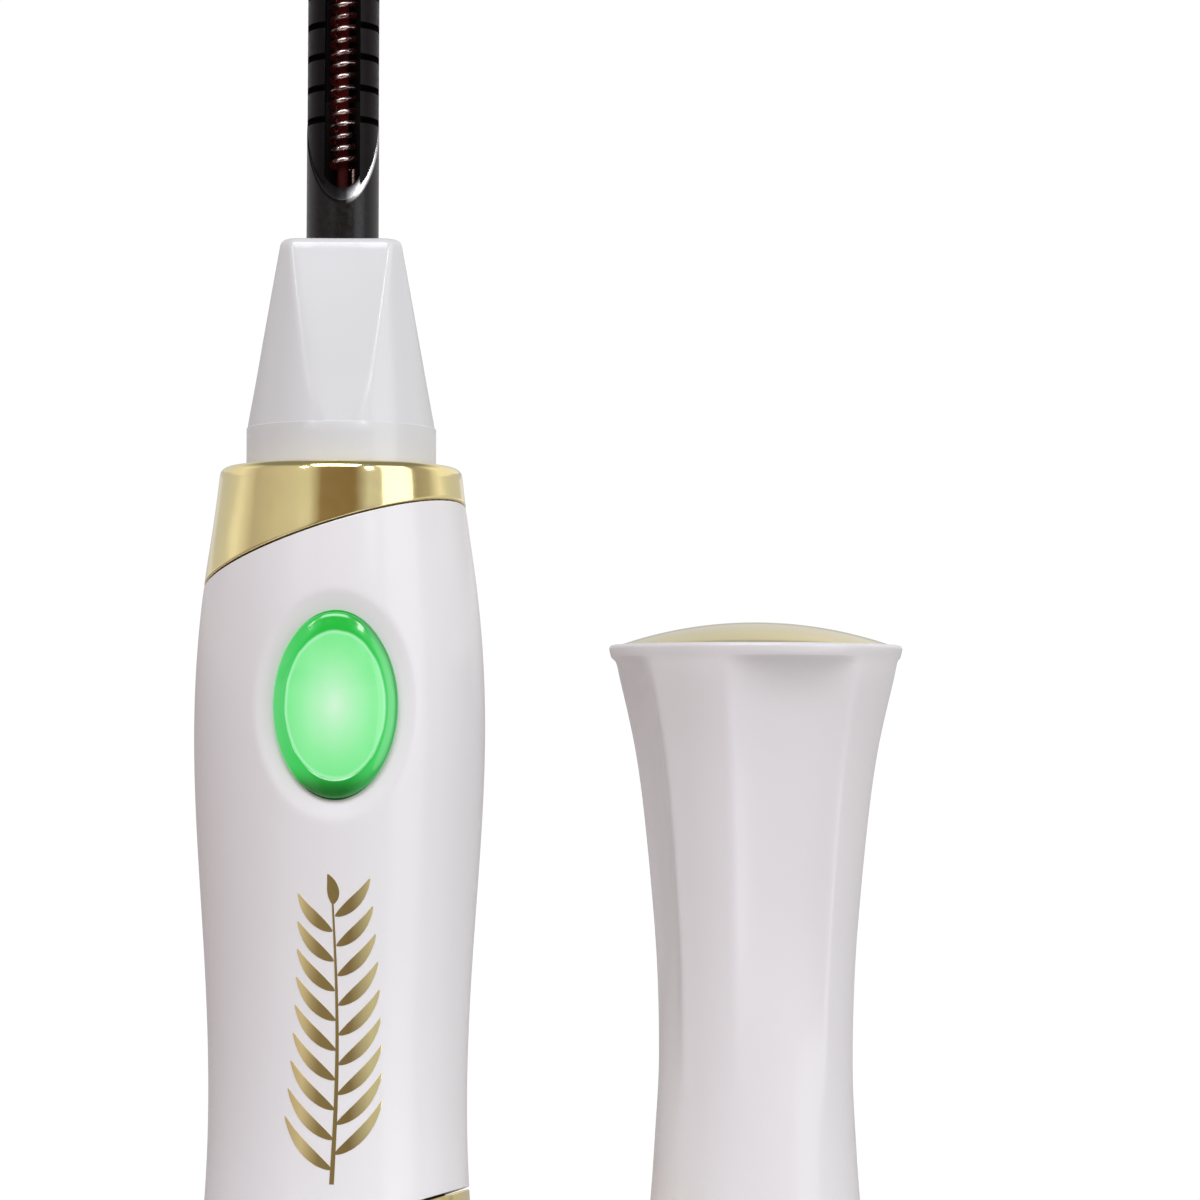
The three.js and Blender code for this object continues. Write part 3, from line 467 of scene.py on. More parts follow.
def gold_plating():
    """Vacuum-metallised pale gold: mirror gloss with long faint waves and fine haze."""
    finish = Finish("gold_plating", (0.93, 0.79, 0.385), 0.09, 1.0, Coat_Weight=0.4, Coat_Roughness=0.04)
    finish.vary_color(finish.noise(3.5), 0.03)
    finish.vary_roughness(finish.noise(0.7, detail=4), 0.08, 0.12)
    finish.bumps((finish.noise(1.1, (1, 1, 3.5), 1), 0.006), (finish.noise(0.1), 0.0004))
    return finish


BLACK = (0.006, 0.0045, 0.005)


def black_plastic(name, roughness=0.25, gloss=1.42):
    """Semi-gloss black moulding with fine grain and handling haze."""
    finish = Finish(name, BLACK, roughness, IOR=gloss)
    finish.vary_color(finish.noise(1.5), 0.15)
    finish.vary_roughness(finish.noise(0.5, detail=5), roughness - 0.06, roughness + 0.1)
    finish.bumps((finish.noise(0.09), 0.0006), (finish.noise(1.2, (1, 1, 2), 1), 0.002))
    return finish


RIM_BELOW_BEVEL = (0.38, 0.12)  # where the barrel's rim starts, and where its painted glint is full
RIM_BELOW_R = (0.42, 0.24)


def barrel_black():
    """The black of the barrel, with a painted glint along the right-hand half of its oblique rim, which is
    made pale metal there, and painted shade along the other half, whose reflection is turned down."""
    finish = black_plastic("barrel_black")
    x, y, z = finish.split(finish.place).values()
    rise = finish.math("MULTIPLY_ADD", y, -BEVEL_SLOPE, z)
    rim = finish.range(rise, 0, 1, [(BEVEL_MID_Z - below) * MM for below in RIM_BELOW_BEVEL])
    radius = finish.vector("LENGTH", finish.vector("MULTIPLY", finish.place, (1, 1, 0)))
    outer = finish.range(radius, 0, 1, [(BARREL_R - below) * MM for below in RIM_BELOW_R])
    # Painted glint: the rim's right half is made pale metal. Painted shade: its left half loses most of its
    # reflection.
    right = finish.math("MULTIPLY", rim, finish.range(x, 0, 1, (0.3 * MM, 1.3 * MM)))
    left = finish.math("MULTIPLY", rim, finish.range(x, 1, 0, (-0.4 * MM, 0.6 * MM)))
    painted_glint = finish.math("MULTIPLY", right, outer)
    finish.into(finish.range(left, 0.5, 0.06, (0, 1)), "Specular IOR Level")
    finish.into(painted_glint, "Metallic")
    finish.into(finish.ramp(painted_glint, [(0.0, BLACK), (1.0, (0.74, 0.72, 0.71))]), "Base Color")
    return finish


def plain_moulding(name, color, roughness=0.5, grain=0.15):
    """Inner moulding: fine spark texture and a little tint drift."""
    finish = Finish(name, color, roughness, IOR=1.49)
    finish.vary_color(finish.noise(2.5), 0.05)
    finish.vary_roughness(finish.noise(0.6, detail=5), roughness - 0.08, roughness + 0.1)
    finish.bumps((finish.noise(grain), 0.004))
    return finish


def plated_steel():
    """Plated wire and strip: fine streaks along the draw, darker in patches."""
    finish = Finish("plated_steel", (0.6, 0.6, 0.61), 0.24, 1.0)
    drawn = (1, 1, 6)
    finish.vary_color(finish.noise(1.2, detail=5), 0.12)
    finish.vary_roughness(finish.noise(0.25, drawn, 4), 0.16, 0.38)
    finish.bumps((finish.noise(0.25 / 3, drawn), 0.0015))
    return finish


def rubber():
    finish = Finish("rubber", (0.014, 0.014, 0.014), 0.62, IOR=1.45)
    finish.vary_color(finish.noise(1.0), 0.2)
    finish.vary_roughness(finish.noise(0.4, detail=5), 0.5, 0.75)
    finish.bumps((finish.noise(0.07), 0.004))
    return finish


def heater_wire():
    """Resistance wire with its oxide: rose-grey where bare, dark plum in patches, faintly glowing."""
    finish = Finish("heater_wire", (0.42, 0.25, 0.24), 0.24, 1.0, Emission_Strength=0.012)
    tint = finish.ramp(finish.noise(0.7, detail=4), [(0.36, (0.1, 0.04, 0.04)), (0.58, (0.78, 0.66, 0.64))])
    finish.into(tint, "Base Color")
    glow = finish.ramp(finish.noise(2.2, detail=1), [(0.35, (0.1, 0.0, 0.0)), (0.65, (1.0, 0.06, 0.03))])
    finish.into(glow, "Emission Color")
    finish.vary_roughness(finish.noise(0.12, detail=4), 0.16, 0.3)
    finish.bumps((finish.noise(0.25, detail=2), 0.012))
    return finish


def ceramic_core():
    """Fired core: matt, speckled, with the coil's dull red light in it."""
    finish = Finish("ceramic_core", (0.04, 0.006, 0.006), 0.7, IOR=1.15, Emission_Strength=0.025)
    finish.vary_color(finish.noise(0.2, detail=5), 0.4)
    glow = finish.ramp(finish.noise(2.6, detail=1), [(0.35, (0.08, 0.0, 0.0)), (0.7, (1.0, 0.05, 0.04))])
    finish.into(glow, "Emission Color")
    finish.vary_roughness(finish.noise(0.3), 0.6, 0.8)
    finish.bumps((finish.noise(0.08), 0.006))
    return finish


def green_lens():
    """Green tinted lens lit from behind. It is pale in the middle, with a painted highlight in a thin bright
    line round the window. Its clear saturated rim has painted light and shade that make it lighter at its
    sides and darkest at its foot, with a painted dark reflection along its right edge."""
    finish = Finish("green_lens", (0.005, 0.1, 0.015), 0.14, IOR=1.5, Coat_Weight=0.5, Coat_Roughness=0.05,
                    Emission_Strength=0.85)
    # Place on the oval in shares of its half sizes, and the reach from its centre, 1 on its edge.
    place = finish.vector("SUBTRACT", finish.place, (0, 0, BUTTON_Z * MM))
    place = finish.vector("MULTIPLY", place, (1 / (BUTTON[0] * MM), 0, 1 / (BUTTON[1] * MM)))
    across, _, up = finish.split(place).values()
    reach = finish.math("MULTIPLY_ADD", finish.noise(1.6, detail=4), 0.03, finish.vector("LENGTH", place))
    # The window's glow from behind, with a painted highlight: a thin brighter line just inside its edge.
    window = finish.ramp(reach, [
        (0.02, (0.74, 1.0, 0.78)), (0.3, (0.5, 0.97, 0.57)), (0.6, (0.3, 0.92, 0.38)),
        (0.77, (0.24, 0.88, 0.32)), (0.8, (0.42, 0.95, 0.52)),
    ])
    # Painted light and shade on the rim: lighter towards its sides.
    rim = finish.ramp(finish.math("ABSOLUTE", across), [
        (0.2, (0.008, 0.5, 0.045)), (0.6, (0.03, 0.59, 0.09)), (0.95, (0.11, 0.66, 0.19)),
    ])
    # Painted shade: the rim darkens towards its foot.
    foot = finish.ramp(finish.range(up, 0, 1, (-1, 1)), [
        (0.04, (0.0, 0.06, 0.004)), (0.09, (0.004, 0.24, 0.02)), (0.18, (0.05, 0.58, 0.11)),
    ])
    rim = finish.mix(finish.range(up, 1, 0, (-0.85, -0.6)), rim, foot)
    # Painted reflection: a dark line along the rim's outer edge on the right.
    on_edge = finish.range(reach, 0, 1, (0.93, 0.985))
    on_right = finish.range(across, 0, 0.8, (0.1, 0.6))
    line = finish.ramp(up, [(0.0, (0.01, 0.3, 0.05)), (1.0, (0.005, 0.16, 0.025))])
    rim = finish.mix(finish.math("MULTIPLY", on_edge, on_right), rim, line)
    finish.into(finish.mix(finish.range(reach, 0, 1, (0.805, 0.83)), window, rim), "Emission Color")
    finish.vary_color(finish.noise(1.0), 0.1)
    finish.vary_roughness(finish.noise(0.5), 0.1, 0.2)
    finish.bumps((finish.noise(1.3, detail=1), 0.01), (finish.noise(0.15), 0.001))
    return finish


def light_diffuser():
    finish = Finish("light_diffuser", (0.6, 0.85, 0.65), 0.5, IOR=1.49, Emission_Strength=0.35)
    glow = finish.ramp(finish.noise(2.0), [(0.3, (0.2, 0.7, 0.3)), (0.7, (0.45, 0.95, 0.55))])
    finish.into(glow, "Emission Color")
    finish.vary_color(finish.noise(2.0), 0.06)
    finish.vary_roughness(finish.noise(0.6), 0.42, 0.6)
    finish.bumps((finish.noise(0.2), 0.003))
    return finish


def board():
    """Solder-masked laminate with its copper tracks showing as slightly raised, darker lanes."""
    finish = Finish("board", (0.015, 0.11, 0.04), 0.35, IOR=1.55, Coat_Weight=0.3)
    lanes = finish.new("TexBrick", finish.place, Scale=1 / (3 * MM), Color1=(0.02, 0.15, 0.05, 1),
                       Color2=(0.018, 0.12, 0.045, 1), Mortar=(0.008, 0.07, 0.025, 1))
    finish.into(lanes.outputs["Color"], "Base Color")
    finish.vary_roughness(finish.noise(0.5), 0.3, 0.45)
    finish.bumps((lanes.outputs["Fac"], 0.01), (finish.noise(0.2), 0.002))
    return finish


def cell_wrap():
    """Shrink sleeve of the cell: slate blue with one plain pale grey band near the positive end."""
    finish = Finish("cell_wrap", (0.035, 0.055, 0.085), 0.28, 0.3, Coat_Weight=0.6, Coat_Roughness=0.1)
    ends = [end.z * MM for end in node_box("battery_cell")]
    height = finish.range(finish.split(finish.place)["Z"], 0, 1, ends)
    band = finish.ramp(height, [
        (0.0, (0.035, 0.055, 0.085)), (0.8, (0.04, 0.062, 0.095)), (0.805, (0.45, 0.46, 0.48)),
        (0.93, (0.48, 0.49, 0.51)), (0.935, (0.035, 0.055, 0.085)), (1.0, (0.03, 0.045, 0.07)),
    ])
    finish.into(band, "Base Color")
    finish.vary_roughness(finish.noise(0.8, (1, 1, 4), 5), 0.22, 0.4)
    finish.bumps((finish.noise(0.8, (1, 1, 6)), 0.006))
    return finish


FINISHES = {finish.name: finish.material for finish in (
    white_plastic("white_plastic", (0.8, 0.785, 0.795)),
    # Painted shade: a darker copy of the white plastic for the neck, where it takes less light.
    white_plastic("neck_plastic", (0.69, 0.695, 0.705)),
    # Painted shade: a darker, slightly pinker copy of the white plastic for the cap's pink-tinged shading.
    white_plastic("cap_plastic", (0.76, 0.735, 0.745)),
    gold_plating(),
    black_plastic("black_plastic"),
    black_plastic("comb_black", 0.34, 1.2),
    barrel_black(),
    plain_moulding("grey_plastic", (0.12, 0.12, 0.13)),
    plain_moulding("insulator", (0.6, 0.55, 0.46), 0.45),
    plain_moulding("wire_red", (0.42, 0.012, 0.01), 0.4, 0.08),
    plain_moulding("wire_black", (0.012, 0.012, 0.012), 0.4, 0.08),
    ceramic_core(),
    heater_wire(),
    plated_steel(),
    rubber(),
    green_lens(),
    light_diffuser(),
    board(),
    cell_wrap(),
)}


# ---------- handle surfaces ----------

handle_radius = smooth_curve(HANDLE_OUTLINE)


def slant(angle, radius, base):
    """Height of a slanted joint plane at a point round the axis."""
    return base + radius * (SLANT_RIGHT * sin(angle) + SLANT_FRONT * cos(angle))


def meet(angle, base):
    """Height at which a slanted joint plane crosses the handle's skin."""
    z = base
    for _ in range(8):
        z = slant(angle, handle_radius(z), base)
    return z


def dish_depth(x, z):
    """Depth of the recess round the button: a soft edge, then a steady slope inwards."""
    inside = (1 - hypot(x / DISH[0], (z - BUTTON_Z) / DISH[1])) * DISH[0]
    ramp = (inside + sqrt(inside * inside + DISH_SOFT * DISH_SOFT)) / 2
    return DISH_SLOPE * ramp * smoothstep(*DISH_FADE, inside)


def build_base():
    base = LOWER_SLANT_Z - SEAM / 2

    def outline(angle):
        top = meet(angle, base)
        rows = [(handle_radius(z), z, 0) for z in spread(0.9, top - 0.3, 14)]
        return rounded([
            (0, 0, 0), (FOOT_R, 0, 0.5), *rows, (handle_radius(top), top, 0.1),
            (BORE_R, slant(angle, BORE_R, base), 0.1), (BORE_R, BASE_FLOOR_Z, 0.3), (0, BASE_FLOOR_Z, 0),
        ])

    make("gold_base", turned(outline), "base", "gold_plating", ["base_shell"])


def well_reach(radius, angle):
    """Distance from the wand's axis to the wall of a round well that is set back by CELL_Y."""
    return sqrt(radius ** 2 - (CELL_Y * sin(angle)) ** 2) - CELL_Y * cos(angle)


def build_plug():
    (low, high), (groove_low, groove_high) = PLUG_Z, GROOVE_Z

    def outline(angle):
        well, seat = well_reach(WELL_R, angle), well_reach(SEAT_R, angle)
        return rounded([
            (0, low, 0), (PLUG_R, low, 0.2), (PLUG_R, groove_low, 0.1), (GROOVE_R, groove_low, 0.1),
            (GROOVE_R, groove_high, 0.1), (PLUG_R, groove_high, 0.1), (PLUG_R, high, 0.4), (well, high, 0.25),
            (well, WELL_FLOOR_Z, 0.1), (seat, WELL_FLOOR_Z, 0.15), (seat, SEAT_FLOOR_Z, 0.1),
            (0, SEAT_FLOOR_Z, 0),
        ])

    make("door_plug", turned(outline, 128), "base", "grey_plastic", ["base_plug"])
    middle = sum(GROOVE_Z) / 2
    ring = [(SEAL_R + SEAL_WIRE_R * cos(a), middle + SEAL_WIRE_R * sin(a)) for a in full_turn(20)]
    make("seal_ring", turned(lambda angle: ring, 128), "base", "rubber", ["base_o_ring"])


def build_spring():
    low, high = node_box("negative_spring")
    path = []
    for t in spread(0, 1, 159):
        x, y, z = around(2 * pi * SPRING_TURNS * t + pi / 2, lerp(*SPRING_RADII, t), lerp(low.z, high.z, t))
        path.append((x, CELL_Y + y, z))
    make("cell_spring", swept(path, SPRING_WIRE_R, 10), "base", "plated_steel", ["negative_spring"])


def build_battery():
    low, high = node_box("battery_cell")
    bottom, top = low.z, high.z
    can = [
        (0, bottom + 0.15, 0), (3.6, bottom + 0.15, 0.1), (3.9, bottom, 0.08), (4.7, bottom, 0.2),
        (CELL_R, bottom + 0.35, 0.3), (CELL_R, top - 0.5, 0.35), (4.6, top, 0.15), (3.9, top - 0.15, 0.1),
        (3.3, top - 0.25, 0.1), (0, top - 0.25, 0),
    ]
    make("cell_can", lathe(can, 96, y=CELL_Y), "battery", "cell_wrap", ["battery_cell"])
    nub_low, nub_high = node_box("battery_positive_cap")
    nub = [
        (0, nub_low.z - 0.2, 0), (2.6, nub_low.z - 0.2, 0.05), (2.6, nub_low.z + 0.05, 0.08),
        (1.9, nub_low.z + 0.12, 0.1), (1.85, nub_high.z, 0.2), (0, nub_high.z, 0),
    ]
    make("cell_nub", lathe(nub, 64, y=CELL_Y), "battery", "plated_steel", ["battery_positive_cap"])


# ---------- handle sleeve ----------

SLEEVE_ROWS = 64
SLEEVE_EDGE = 0.1  # rounding of the slanted ends
END_STEPS = (0.0, 0.3, 0.6, 0.85, 1.0)
HOLE_EDGE = 0.05  # how far the hole's edge is turned in
HOLE_SCALES = (1.0, 1.006, 1.02, 1.05, 1.09, 1.13, 1.17, 1.205, 1.24, 1.28, 1.33)  # rings round the hole
HOLE_MERGES = (0.25, 0.5, 0.75)  # then rings that go over into the grid
WINDOW_HALF = radians(44)  # cells of the grid that these rings take up, round the handle
WINDOW_RISE = 10.6  # and up and down from the button


def sleeve_point(angle, z, sink=0.0):
    """A point of the sleeve's skin, with the recess round the button."""
    radius = handle_radius(z)
    depth = dish_depth(radius * sin(angle), z) if cos(angle) > 0 else 0
    return around(angle, radius - depth - sink, z)


def sleeve_end(angles, joint, base, direction):
    """Rings from the bore over one softly rounded slanted end to the skin."""
    rings = [[around(a, BORE_R, slant(a, BORE_R, base)) for a in angles]]
    for t in END_STEPS:
        inset, drop = SLEEVE_EDGE * (1 - sin(t * pi / 2)), SLEEVE_EDGE * (1 - cos(t * pi / 2))
        rings.append([
            around(a, handle_radius(z) - inset, z + direction * drop) for a, z in zip(angles, joint)
        ])
    return rings


def sleeve_grid():
    """The sleeve without its hole: the angles of its columns, the heights of its rows, its rings,
    and the number of the ring that holds the first row of the skin."""
    low_base, high_base = LOWER_SLANT_Z + SEAM / 2, UPPER_SLANT_Z - SEAM / 2
    angles = [2 * pi * i / COLUMNS - pi for i in range(COLUMNS)]
    lows = [meet(a, low_base) for a in angles]
    highs = [meet(a, high_base) for a in angles]
    heights = [
        [lerp(low + SLEEVE_EDGE, high - SLEEVE_EDGE, j / SLEEVE_ROWS) for low, high in zip(lows, highs)]
        for j in range(1, SLEEVE_ROWS)
    ]
    bottom = sleeve_end(angles, lows, low_base, 1)
    top = sleeve_end(angles, highs, high_base, -1)
    outside = [[sleeve_point(a, z) for a, z in zip(angles, row)] for row in heights]
    inside = [[around(a, BORE_R, z) for a, z in zip(angles, row)] for row in heights]
    return angles, heights, bottom + outside + top[::-1] + inside[::-1], len(bottom)


def button_window(angles, heights):
    """The cells of the grid that the rings round the button take up, and the loop round them."""
    columns = [i for i, a in enumerate(angles) if abs(a) < WINDOW_HALF]
    rows = [j for j, row in enumerate(heights) if abs(row[COLUMNS // 2] - BUTTON_Z) < WINDOW_RISE]
    first, last, below, above = columns[0], columns[-1], rows[0], rows[-1]
    cells = [(j, i) for j in range(below, above) for i in range(first, last)]
    loop = [(below, i) for i in range(first, last)] + [(j, last) for j in range(below, above)]
    loop += [(above, i) for i in range(last, first, -1)] + [(j, first) for j in range(above, below, -1)]
    return cells, loop


def hole_rings(loop):
    """Rings from the loop in to the button's hole on the skin, and out again on the bore."""
    hole = (BUTTON[0] + BUTTON_GAP, BUTTON[1] + BUTTON_GAP)
    outer, inner = [], []
    for scale, share in [(s, 0.0) for s in HOLE_SCALES] + [(HOLE_SCALES[-1], t) for t in HOLE_MERGES]:
        outer_ring, inner_ring = [], []
        for angle, z in loop:
            x = handle_radius(z) * sin(angle)
            turn = atan2((z - BUTTON_Z) / hole[1], x / hole[0])
            across = lerp(hole[0] * scale * cos(turn), x, share)
            up = lerp(BUTTON_Z + hole[1] * scale * sin(turn), z, share)
            sink = HOLE_EDGE if scale == HOLE_SCALES[0] else 0.0
            outer_ring.append(sleeve_point(asin(across / handle_radius(up)), up, sink))
            grown = 0.3 * (scale - 1) / (HOLE_SCALES[-1] - 1) + 0.7 * share
            bore_x = across * lerp(1, BORE_R / handle_radius(up), grown)
            inner_ring.append((bore_x, -sqrt(BORE_R ** 2 - bore_x ** 2), up))
        outer.append(outer_ring)
        inner.append(inner_ring)
    return outer[::-1] + inner


def build_sleeve():
    """The white sleeve: a grid between its two slanted ends, with an oval hole whose rings grow
    out of the grid, so that the button's recess has clean edges."""
    angles, heights, rings, first_out = sleeve_grid()
    points, faces = skin(rings)

    def outside(j, i):
        return (first_out + j) * COLUMNS + i

    def inside(j, i):
        return (len(rings) - 1 - j) * COLUMNS + i

    cells, loop = button_window(angles, heights)
    covered = {
        frozenset((corner(j, i), corner(j, i + 1), corner(j + 1, i + 1), corner(j + 1, i)))
        for corner in (outside, inside) for j, i in cells
    }
    faces = [face for face in faces if frozenset(face) not in covered]
    bands = [[outside(j, i) for j, i in loop]]
    for ring in hole_rings([(angles[i], heights[j][i]) for j, i in loop]):
        bands.append(range(len(points), len(points) + len(ring)))
        points += ring
    bands.append([inside(j, i) for j, i in loop])
    for a, b in zip(bands, bands[1:]):
        faces += [(a[s - 1], a[s], b[s], b[s - 1]) for s in range(len(loop))]
    make("white_sleeve", (points, faces), "handle", "white_plastic", ["handle_sleeve"])


def build_collar():
    base = UPPER_SLANT_Z + SEAM / 2

    def outline(angle):
        low = meet(angle, base)
        rows = [(handle_radius(z), z, 0) for z in spread(low + 0.25, COLLAR_TOP_Z - 1.0, 8)]
        return rounded([
            (BORE_R, slant(angle, BORE_R, base), 0.08), (handle_radius(low), low, 0.1), *rows,
            (handle_radius(COLLAR_TOP_Z), COLLAR_TOP_Z, 0.7), (COLLAR_LIP_R, COLLAR_TOP_Z, 0.15),
            (COLLAR_LIP_R, SHELF_Z, 0.1), (BORE_R, SHELF_Z, 0.1),
        ], 6)

    make("gold_collar", turned(outline), "handle", "gold_plating", ["collar_ring"])


# ---------- button ----------

BUTTON_WALL = 1.0  # thickness of the lens round the hollow behind it
BUTTON_WALL_Y = (-10.0, -9.6)  # the hollow's front face, and where its rounded edge starts
BUTTON_FLANGE_THICK = 0.45
BUTTON_SIDE = [  # inset and depth below the skin
    (0, 0.75), (0, 0.18), (0.03, 0.1), (0.09, 0.045), (0.16, 0.01),
]
BUTTON_RIM = [  # share of the oval and depth: the sloping rim, then a small step up to the window
    (0.94, -0.02), (0.9, -0.06), (0.86, -0.1), (0.83, -0.11), (0.815, -0.09), (0.8, -0.02), (0.785, -0.01),
    (0.76, -0.04),
]
WINDOW_CROWN = 0.25  # rise of the window's shallow dome
WINDOW_STEPS = (0.1, 0.25, 0.45, 0.65, 0.85, 1)  # rings from its edge to its middle


def build_button():
    def oval(inset=0.0, share=1.0):
        half = [(side - inset) * share for side in BUTTON]
        return [(half[0] * cos(turn), BUTTON_Z + half[1] * sin(turn)) for turn in full_turn(120)]

    def level(places, y):
        return [(x, y, z) for x, z in places]

    def on_skin(places, depth):
        return [(x, depth - sqrt(handle_radius(z) ** 2 - x * x), z) for x, z in places]

    flange = oval(-BUTTON_FLANGE)
    flange_y = BUTTON_BACK_Y - BUTTON_FLANGE_THICK
    rings = [
        level(oval(share=0), BUTTON_WALL_Y[0]), level(oval(BUTTON_WALL + 0.4), BUTTON_WALL_Y[0]),
        level(oval(BUTTON_WALL), BUTTON_WALL_Y[1]), level(oval(BUTTON_WALL), BUTTON_BACK_Y),
        level(flange, BUTTON_BACK_Y), level(flange, flange_y), level(oval(), flange_y),
    ]
    rings += [on_skin(oval(inset), depth) for inset, depth in BUTTON_SIDE]
    rings += [on_skin(oval(share=share), depth) for share, depth in BUTTON_RIM]
    window, depth = BUTTON_RIM[-1]
    for t in WINDOW_STEPS:
        rings.append(on_skin(oval(share=window * (1 - t)), depth - WINDOW_CROWN * sin(t * pi / 2)))
    make("lit_button", skin(rings, closed=False), "power_button", "green_lens", ["button_lens"])


# ---------- neck ----------

FLAT_STEPS = (-1, -0.97, -0.92, -0.84, -0.7, -0.45, -0.15, 0.15, 0.45, 0.7, 0.84, 0.92, 0.97)
LAND_STEPS = (0, 0.015, 0.04, 0.08, 0.13, 0.19, 0.26, 0.34, 0.42, 0.5, 0.58, 0.66, 0.74, 0.81, 0.87, 0.92,
              0.96, 0.985)


def neck_places(reach):
    """Angles round the neck for flats of a given half width, each with its angle from the middle
    of its own flat."""
    land = pi / 2 - 2 * reach
    offsets = [reach * share for share in FLAT_STEPS] + [reach + land * share for share in LAND_STEPS]
    return [(side * pi / 2 + offset, offset) for side in range(4) for offset in offsets]


def neck_ring(cone, flat, z, inset=0.0, softness=NECK_SOFT):
    """One level of the neck: four flats with round lands between them, their edges softened."""
    ring = []
    for angle, offset in neck_places(acos(min(flat / cone, 0.9999))):
        plane = flat / cos(min(offset, pi / 2 - offset))
        overlap = max(softness - abs(cone - plane), 0) / softness
        radius = min(cone, plane) - overlap * overlap * softness / 4 - inset
        ring.append(around(angle, radius, z))
    return ring


def neck_round(radius, z, reach):
    """A round level with its points at the same angles as the level above it."""
    return [around(angle, radius, z) for angle, offset in neck_places(reach)]


def build_neck():
    low_reach, band_reach = acos(NECK_FLAT[0] / NECK_CONE[0]), radians(17)
    top_reach = acos(NECK_FLAT[1] / NECK_CONE[1])
    rings = [neck_round(r, z, band_reach) for r, z in (
        (NECK_HOLLOW[-1][0], NECK_BOTTOM_Z), (NECK_SPIGOT_R - 0.2, NECK_BOTTOM_Z),
        (NECK_SPIGOT_R, NECK_BOTTOM_Z + 0.2), (NECK_SPIGOT_R, NECK_SHOULDER_Z - 0.1),
        (NECK_SPIGOT_R - 0.1, NECK_SHOULDER_Z), (NECK_BAND_R, NECK_SHOULDER_Z + 0.05),
        (NECK_BAND_R, NECK_BAND_Z),
    )]
    for t in (0.25, 0.5, 0.75, 1):
        z = lerp(NECK_BAND_Z, NECK_BAND_TOP_Z - 0.06, t)
        rings.append(neck_round(NECK_BAND_R, z, lerp(band_reach, low_reach, t)))
    rings += [neck_round(NECK_BAND_R - 0.015, NECK_BAND_TOP_Z - 0.02, low_reach),
              neck_round(NECK_BAND_R - 0.045, NECK_BAND_TOP_Z, low_reach)]
    for t in [0, 0.003] + spread(0, 1, 30)[1:]:
        cone, flat = lerp(*NECK_CONE, t) - NECK_SAG * t * (1 - t), lerp(*NECK_FLAT, t)
        softness = lerp(0.02, NECK_SOFT, smoothstep(0, 0.3, t))
        z = lerp(NECK_BAND_TOP_Z + 0.02, NECK_TOP_Z - NECK_EDGE, t)
        rings.append(neck_ring(cone, flat, z, softness=softness))
    for k in range(1, 6):
        turn = k / 5 * pi / 2
        inset = NECK_EDGE * (1 - cos(turn)) + 0.04 * k
        rings.append(neck_ring(NECK_CONE[1], NECK_FLAT[1], NECK_TOP_Z - NECK_EDGE * (1 - sin(turn)), inset))
    mouth, (seat_r, seat_z) = BARREL_R + 0.1, NECK_SEAT
    rings += [neck_round(r, z, top_reach) for r, z in (
        (mouth + 0.15, NECK_TOP_Z), (mouth, NECK_TOP_Z - 0.15), (mouth, seat_z), (seat_r, seat_z),
    )]
    rings += [neck_round(r, z, band_reach) for r, z in NECK_HOLLOW]
    make("white_neck", skin(rings), "handle", "white_plastic", ["neck_cone"], finish="neck_plastic")


# ---------- heated head ----------

def bevel_height(y):
    return BEVEL_MID_Z + BEVEL_SLOPE * y


def build_barrel():
    def outline(angle):
        outside = bevel_height(-BARREL_R * cos(angle))
        inside = bevel_height(-BARREL_BORE_R * cos(angle))
        rounding = lerp(0.1, 0.32, smoothstep(-0.6, 0.2, cos(angle)))
        return rounded([
            (BARREL_BORE_R, BARREL_BOTTOM_Z, 0.05), (BARREL_R, BARREL_BOTTOM_Z, 0.1),
            (BARREL_R, lerp(BARREL_BOTTOM_Z, outside, 0.5), 0), (BARREL_R, outside, rounding),
            (BARREL_BORE_R, inside, 0.06),
        ], 6)

    make("barrel", turned(outline, 128), "handle", "black_plastic", ["barrel_sleeve"], finish="barrel_black")


def comb_section(kind):
    """Outline of the comb at one level, as (x, y) points that match up between the kinds."""
    tip, root = asin(CHANNEL_HALF / COMB_R), acos(-SLOT_DEPTH_Y / COMB_R)
    right = flat_arc(tip, root, COMB_R, 10)[:-1]
    if kind == "slot":
        right = [(lerp(CHANNEL_HALF, COMB_R * sin(root), i / 10), SLOT_DEPTH_Y) for i in range(10)]
    left = [(-x, y) for x, y in right[::-1]]
    outline = right + flat_arc(root, 2 * pi - root, COMB_R, 56) + left
    if kind == "full":
        return outline + flat_arc(-tip, tip, COMB_R, 14)[1:-1]
    wall = spread(SLOT_DEPTH_Y, CHANNEL_BACK_Y, 3)
    floor = spread(-CHANNEL_HALF, CHANNEL_HALF, 6)[1:-1]
    channel = [(-CHANNEL_HALF, y) for y in wall] + [(x, CHANNEL_BACK_Y) for x in floor]
    return outline + channel + [(CHANNEL_HALF, y) for y in wall[::-1]]


def build_comb():
    """The comb's round body with its channel and slots, and the spine that runs down inside the
    sleeve behind the channel."""
    levels = [("tooth", COMB_FOOT_Z)]
    for z in SLOTS:
        low, high = z - SLOT_WIDTH / 2, z + SLOT_WIDTH / 2
        levels += [("tooth", low), ("slot", low), ("slot", high), ("tooth", high)]
    levels += [("tooth", CHANNEL_TOP_Z), ("full", CHANNEL_TOP_Z), ("full", COMB_TOP_Z)]
    body = [
        [(x, y, max(z, bevel_height(y) + COMB_GAP)) for x, y in comb_section(kind)] for kind, z in levels
    ]
    reach = acos(-CHANNEL_BACK_Y / SPINE_R)
    section = flat_arc(reach, 2 * pi - reach, SPINE_R, 24)
    spine = [[(x, y, z) for x, y in section] for z in SPINE_Z]
    spine.append([(x, y, bevel_height(y) + COMB_GAP - 0.02) for x, y in section])
    shape = joined([loft(body), loft(spine)])
    make("lash_comb", shape, "handle", "black_plastic", ["comb_frame"], 0.05, "comb_black")


